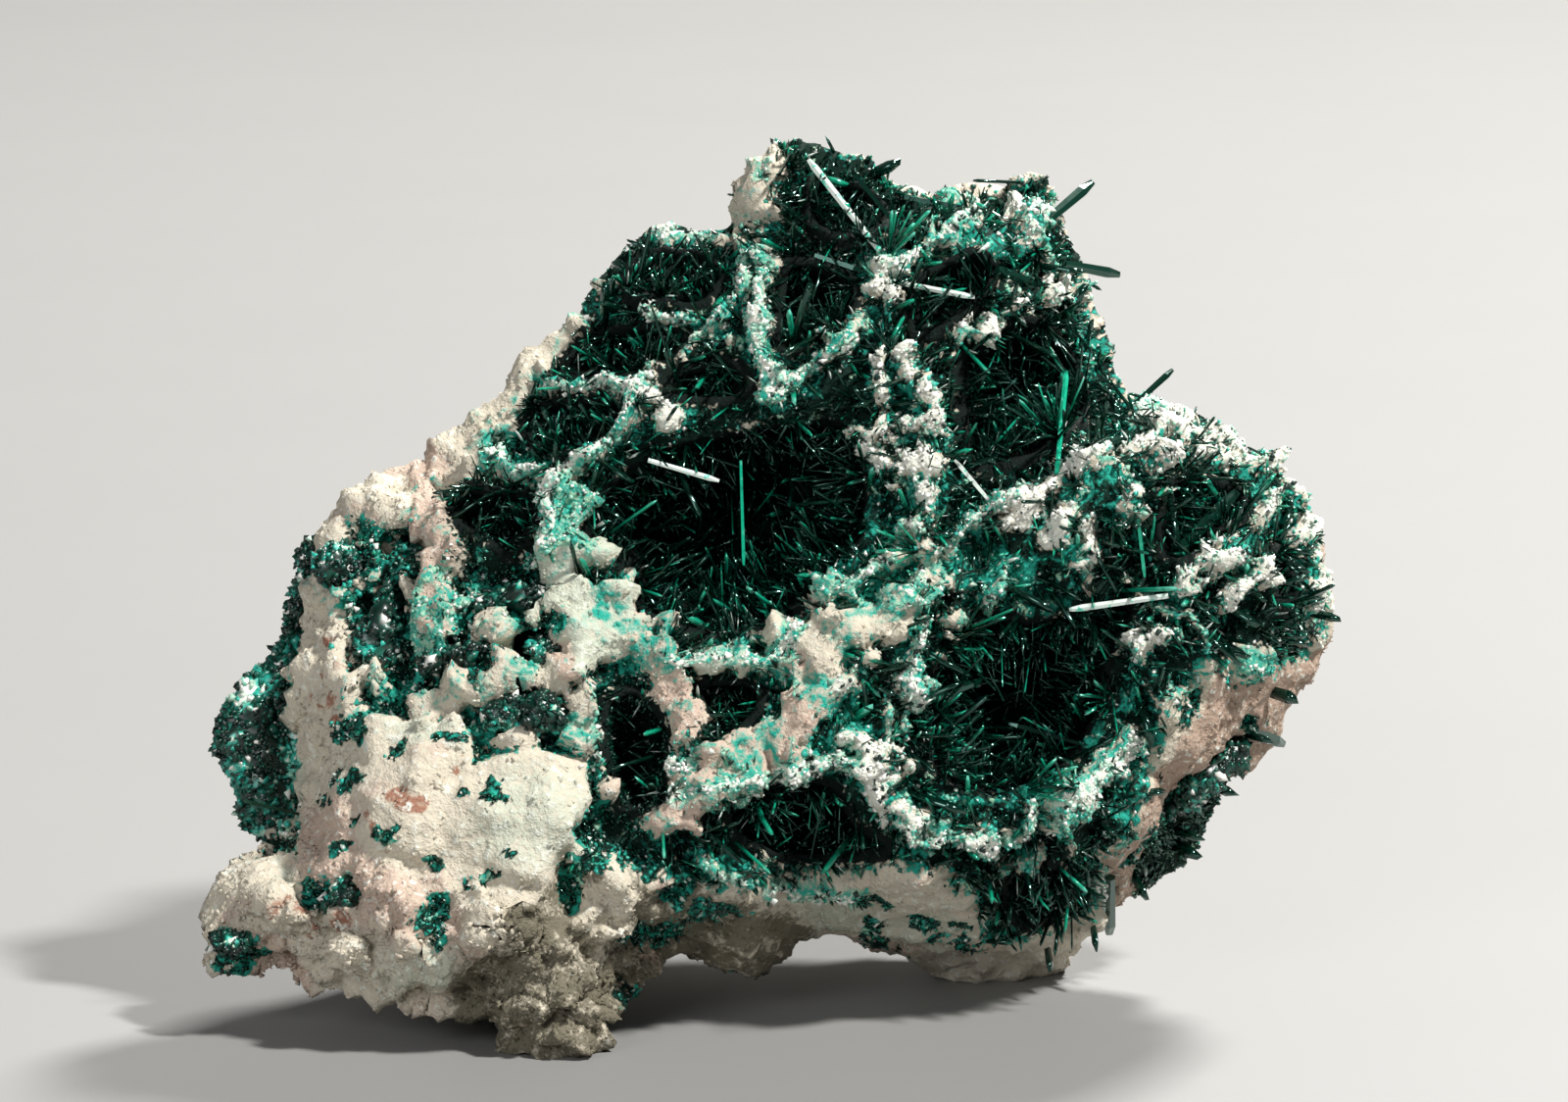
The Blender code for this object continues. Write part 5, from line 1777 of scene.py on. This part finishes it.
@dataclass
class Crusts:
    """The crusts of small crystals let into the outside of the rock.

    Attributes:
        rock: the rock they sit in.
        finish: their look.
        growth: how crystals grow on them.
        grains_per_mm2: how many grains lie on a square millimetre.
        noise: what makes them rough.
    """

    rock: Rock
    finish: GrainFinish = GrainFinish()
    growth: Growth = Growth(3.0, (0.2, 0.9), (0.3, 0.9), 1.3, 0.1, 0.0, 0.10, 0.03, False)
    grains_per_mm2: float = 7.0
    noise: Noise = Noise(9)

    def build(self) -> list[bpy.types.Object]:
        """Makes each crust: a rough body with grains and crystals standing on it.

        Returns:
            The crusts.
        """
        material = self.finish.build()
        tree = self.rock.search_tree()
        pieces = []
        for i, name in enumerate(sorted(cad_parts)):
            if not name.startswith("crust_"):
                continue
            places, faces = self._body(name)
            parts = MeshParts()
            parts.add_mesh(places, faces, self._tones(places))
            corners = places[faces]
            centres = corners.mean(axis=1)
            bare = self._bare(centres, tree)
            chips = Chips(int((quad_areas(corners) * bare).sum() * self.grains_per_mm2), (0.25, 1.2), 0.15)
            points, chosen = chips.scatter(corners, bare, 700 + i)
            parts.add(points, GRAIN_FACES, self._tones(centres[chosen]))
            grown(parts, corners, bare, np.zeros(len(faces)), self.growth, tree, 600 + i)
            parts.tones[2:] = [0.95 - 0.5 * tones for tones in parts.tones[2:]]
            pieces.append(dressed(parts.build(name + "_crystals", material), "crystal_bed", name))
            LOG.info("%s: %d triangles", name, parts.triangles())
        return pieces

    def _body(self, name: str) -> tuple[Array, Array]:
        """Shapes the rough body of a crust.

        Args:
            name: the name of its solid.

        Returns:
            The body's points on the face, in millimetres, and its faces.
        """
        places, faces, normals = mesh_arrays(remeshed(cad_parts[name], 0.5, -0.45))
        push = 0.9 * self.noise.value(places, 3.6) + 0.5 * self.noise.layered(places, 1.6, 2, 5)
        push += 0.5 * self.noise.creases(places, 1.4)
        places = places + normals * push[:, None]
        if name == HEEL_CRUST:
            places = places + np.array(HEEL_SHIFT)
        if name == EDGE_CRUST:
            middle, count = places.mean(axis=0), len(places)
            stretched = (places - middle) * np.array(EDGE_STRETCH) + middle
            places = np.concatenate([stretched + np.array(shift) for shift in EDGE_SHIFTS])
            faces = np.concatenate([faces + count * copy for copy in range(len(EDGE_SHIFTS))])
        return places, faces

    def _tones(self, places: Array) -> Array:
        """The tone of a crust: dark, with emerald patches and pale turquoise lumps.

        Args:
            places: face places in millimetres.

        Returns:
            A tone from 0 to 1 for each place.
        """
        rng = np.random.default_rng(len(places))
        pale = np.maximum.reduce([spot.share(places[:, :2]) for spot in PALE_LUMPS])
        patches = smooth(-0.1, 0.7, self.noise.layered(places, 2.2, 2, 7))
        tones = 0.92 - 0.40 * patches - 0.45 * pale + 0.12 * rng.normal(size=len(places))
        return np.clip(np.where(rng.random(len(places)) < 0.06, 0.15, tones), 0, 1)

    @staticmethod
    def _bare(centres: Array, tree: BVHTree) -> Array:
        """Finds the places outside the rock.

        Args:
            centres: the middles of a crust's faces.
            tree: the rock.

        Returns:
            Whether each is outside it.
        """
        bare = np.zeros(len(centres), bool)
        for i, centre in enumerate(centres.tolist()):
            spot, normal, _, _ = tree.find_nearest(Vector(centre))
            bare[i] = (Vector(centre) - spot).dot(normal) > -0.15
        return bare


@dataclass(frozen=True)
class Chips:
    """Small angular grains on a surface.

    Attributes:
        count: how many there are.
        size_mm: the smallest and the largest.
        sink: how deep they sit, as a share of their size.
    """

    count: int
    size_mm: tuple[float, float]
    sink: float = 0.0

    def scatter(self, corners: Array, share: Array, seed: int) -> tuple[Array, Array]:
        """Puts the grains on faces.

        Args:
            corners: the faces' corners, in face millimetres.
            share: how thickly each face is covered.
            seed: the number that makes this repeatable.

        Returns:
            Six points for each grain, and the number of the face it lies on.
        """
        rng = np.random.default_rng(seed)
        weights = quad_areas(corners) * share
        chosen = rng.choice(len(weights), self.count, p=weights / weights.sum())
        centres = places_on(corners, chosen, rng)
        small, large = self.size_mm
        sizes = small + (large - small) * rng.beta(1.2, 3.4, (self.count, 1, 1))
        centres = centres - quad_normals(corners[chosen]) * sizes[:, 0] * self.sink
        shapes = GRAIN_POINTS[None] * rng.uniform(0.55, 1.2, (self.count, 6, 1))
        shapes = shapes + rng.uniform(-0.16, 0.16, shapes.shape)
        turns = np.linalg.qr(rng.normal(size=(self.count, 3, 3)))[0]
        turns *= np.sign(np.linalg.det(turns))[:, None, None]
        clear = heights(centres) > sizes[:, 0, 0]
        return (centres[:, None] + (shapes * sizes) @ turns)[clear], chosen[clear]


# The usual tones of a grain on a white wall, on a turquoise wall and among the crystals.
USUAL_TONES = (0.10, 0.40, 0.74)


@dataclass
class Grains:
    """The white, turquoise and green grains on the ridges and among the crystals.

    Attributes:
        rock: the rock they lie on.
        chips: how they lie.
        noise: what makes their tones vary.
    """

    rock: Rock
    chips: Chips = Chips(21000, (0.12, 0.66))
    noise: Noise = Noise(31)

    def build(self) -> bpy.types.Object:
        """Scatters the grains.

        Returns:
            The grains as one piece.
        """
        rock = self.rock
        corners = rock.corners()
        values = {name: rock.on_faces(getattr(rock.ground, name)) for name in Ground.painted()}
        open_green = values["green"] * (values["pit"] < 0.3)
        sugar, crust = (np.where(values[name] > 0.25, values[name], 0) for name in ("sugar", "crust"))
        share = 1.4 * sugar + 1.1 * crust + open_green * (0.12 + 0.75 * values["stain"])
        points, chosen = self.chips.scatter(corners, share, 17)
        weights = np.stack([1.4 * sugar, 1.2 * crust, open_green * (0.2 + values["stain"])])[:, chosen]
        rng = np.random.default_rng(19)
        tones = (weights * np.array(USUAL_TONES)[:, None]).sum(axis=0) / weights.sum(axis=0)
        tones += 0.24 * self.noise.layered(points[:, 0], 1.3, 2) + 0.10 * rng.normal(size=len(points))
        tones -= 0.25 * values["stain"][chosen] * (tones > 0.5)
        odd = rng.random(len(points))
        tones = np.where(odd < 0.13, 0.88, np.where(odd > 0.88, 0.12, tones))
        parts = MeshParts()
        parts.add(points, GRAIN_FACES, np.clip(tones, 0, 1))
        LOG.info("grains: %d triangles", parts.triangles())
        return dressed(parts.build("ridge_grains", GrainFinish().build()), "rock")


@dataclass
class Crumbs:
    """The crumbs of bare rock that make its surface rough.

    Attributes:
        rock: the rock they lie on.
        material: the rock's own look.
        chips: how they lie.
    """

    rock: Rock
    material: bpy.types.Material
    chips: Chips = Chips(18000, (0.14, 0.85), 0.25)

    def build(self) -> bpy.types.Object:
        """Scatters the crumbs and gives each the colours of the place it lies on.

        Returns:
            The crumbs as one piece.
        """
        rock = self.rock
        corners = rock.corners()
        centres = corners.mean(axis=1)
        values = {name: rock.on_faces(getattr(rock.ground, name)) for name in Ground.painted()}
        covered = np.maximum.reduce([values[name] for name in ("green", "pit", "sugar", "crust")])
        front = smooth(-0.2, 0.2, quad_normals(corners)[:, 2])
        noise = smooth(-0.5, 0.5, Noise(37).layered(centres, 3.0, 2))
        share = np.where(covered < 0.4, 1 - covered, 0) * (0.35 + 1.3 * front) * (0.35 + noise)
        share *= 1 - 0.6 * PLATE.share(centres[:, :2])
        share *= 1 + 1.2 * smooth(13.0, 10.0, centres[:, 1]) * smooth(-6.0, -9.0, centres[:, 0])
        points, chosen = self.chips.scatter(corners, share, 29)
        parts = MeshParts()
        parts.add(points, GRAIN_FACES, np.zeros(len(points)))
        obj = parts.build("rock_crumbs", self.material)
        for name, value in values.items():
            paint(obj.data, name, np.repeat(value[chosen], len(GRAIN_POINTS)))
        LOG.info("crumbs: %d triangles", parts.triangles())
        return dressed(obj, "rock")


DARK_CRYSTALS = ("crystal_flank", "crystal_rim_bar_dark", "crystal_top_right", "crystal_crown")
EMERALD_CRYSTALS = ("crystal_upright_needle", "crystal_right_needle", "crystal_main_needle_tall")
# These long crystals are painted white as a highlight, where they catch the light.
GLINT_CRYSTALS = (
    "crystal_peak_blade_front", "crystal_cross_blade_long", "crystal_main_blade", "crystal_corner_blade",
    "crystal_lower_right_blade")


@dataclass
class LongCrystals:
    """The single long crystals, which keep their solids' shape.

    Attributes:
        plain: the look of most of them.
        dark: the look of those that no light comes through.
        lit: the look of those that catch the light.
    """

    plain: CrystalFinish = CrystalFinish("crystal", roughness=0.10, transmission=0.3, streaks=0.7)
    dark: CrystalFinish = CrystalFinish("crystal_dark", roughness=0.22, transmission=0.0)
    lit: CrystalFinish = CrystalFinish("crystal_lit", roughness=0.12, transmission=0.2, streaks=1.6)

    def build(self) -> int:
        """Gives each one its look and its tone.

        Returns:
            How many there are.
        """
        plain, dark, lit = self.plain.build(), self.dark.build(), self.lit.build()
        names = [name for name in sorted(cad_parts) if name.startswith("crystal_")]
        for name in names:
            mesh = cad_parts[name].data
            mesh.materials.clear()
            material, tone = plain, 0.4
            if name.startswith(DARK_CRYSTALS):
                material, tone = dark, 0.0
            elif name in GLINT_CRYSTALS:
                # Painted highlight: these crystals take the white glint colour.
                material, tone = lit, 1.3
            elif name in EMERALD_CRYSTALS:
                tone = 0.85
            mesh.materials.append(material)
            paint(mesh, "tone", np.full(len(mesh.vertices), tone))
        return len(names)


@dataclass(frozen=True)
class FloorFinish:
    """A plain pale floor.

    Attributes:
        colour: its colour.
    """

    colour: Colour = (0.24, 0.24, 0.235)

    def build(self) -> bpy.types.Material:
        """Wires the floor's material, with a faint unevenness.

        Returns:
            The material.
        """
        tree = NodeTree("floor")
        darker = tuple(0.96 * part for part in self.colour)
        tree.link(tree.mix(tree.noise(30.0), self.colour, darker), tree.shader.inputs["Base Color"])
        tree.set(Roughness=0.6)
        return tree.material


@dataclass(frozen=True)
class Light:
    """A square light that shines on the specimen.

    Attributes:
        name: its name.
        place: where it is in the row frame, in metres.
        size: how wide it is, in metres.
        power: how strong it is, in watts.
        colour: its colour.
    """

    name: str
    place: tuple[float, float, float]
    size: float
    power: float
    colour: Colour

    def build(self) -> None:
        """Makes the light and aims it."""
        light = bpy.data.lights.new(self.name, "AREA")
        light.size = self.size
        light.energy = self.power
        light.color = self.colour
        obj = bpy.data.objects.new(self.name, light)
        obj.location = self.place
        aim = Vector(SPECIMEN_MIDDLE) - Vector(self.place)
        obj.rotation_euler = aim.to_track_quat("-Z", "Y").to_euler()
        bpy.context.scene.collection.objects.link(obj)


WARM = (1.0, 0.98, 0.95)
COOL = (0.97, 0.98, 1.0)
SPECIMEN_MIDDLE = (0, 0, 0.028)
LIGHTS = (
    Light("key", (0.84, -0.54, 1.26), 0.15, 44.0, WARM),
    Light("back", (0.36, 0.66, 0.78), 0.18, 19.0, WARM),
    Light("front_fill", (-0.26, -0.42, 0.22), 0.20, 0.9, COOL))


@dataclass
class Studio:
    """The floor, the lights and the camera.

    Attributes:
        target: what the camera looks at, on the face in millimetres.
        distance: how far the camera is, in metres.
        lens: its focal length, in millimetres.
        elevation_deg: how far above level it is.
        sky: the colour of the light from all sides.
        sky_strength: how strong that light is.
    """

    target: tuple[float, float, float] = (1.0, 32.6, 2.0)
    distance: float = 0.56
    lens: float = 198.0
    elevation_deg: float = 10.0
    sky: tuple[float, float, float, float] = (0.62, 0.63, 0.65, 1.0)
    sky_strength: float = 0.14

    def build(self) -> None:
        """Makes the floor, lights and camera."""
        self._floor()
        for light in LIGHTS:
            light.build()
        world = bpy.data.worlds.new("studio")
        bpy.context.scene.world = world
        world.use_nodes = True
        background = world.node_tree.nodes["Background"]
        background.inputs["Color"].default_value = self.sky
        background.inputs["Strength"].default_value = self.sky_strength
        self._camera()

    def _floor(self) -> None:
        """A wide level floor with a backdrop that rises behind it."""
        mesh = bpy.data.meshes.new("floor")
        half, bend, radius, back, top = 1.5, 0.7, 0.4, 1.2, 1.2
        steps = [(-half, 0.0), (bend, 0.0)]
        for turn in np.linspace(0.1, 1.5, 9):
            steps.append((bend + radius * math.sin(turn), radius - radius * math.cos(turn)))
        steps += [(back, top)]
        points = [(x, y, z) for y, z in steps for x in (-half, half)]
        faces = [(2 * i, 2 * i + 1, 2 * i + 3, 2 * i + 2) for i in range(len(steps) - 1)]
        mesh.from_pydata(points, [], faces)
        mesh.shade_smooth()
        mesh.materials.append(FloorFinish().build())
        floor = bpy.data.objects.new("floor", mesh)
        bpy.context.scene.collection.objects.link(floor)

    def _camera(self) -> None:
        """The camera, level with the photo's."""
        data = bpy.data.cameras.new("camera")
        data.lens = self.lens
        data.clip_start = 0.01
        camera = bpy.data.objects.new("camera", data)
        target = FACE.to_row(np.array([self.target]))[0]
        rise = math.radians(self.elevation_deg)
        camera.location = target + self.distance * np.array([0, -math.cos(rise), math.sin(rise)])
        camera.rotation_euler = (math.pi / 2 - rise, 0, 0)
        bpy.context.scene.collection.objects.link(camera)
        bpy.context.scene.camera = camera


def main() -> None:
    """Builds the rock, its crystals and grains, and the studio."""
    rock = Rock()
    rock.build()
    LOG.info("rock: %d faces", len(rock.faces))
    Crystals(rock).build()
    Crusts(rock).build()
    Grains(rock).build()
    Crumbs(rock, rock.material).build()
    LOG.info("long crystals: %d", LongCrystals().build())
    Studio().build()
    bpy.context.scene.view_settings.view_transform = "Standard"


if __name__ == "__main__":
    main()
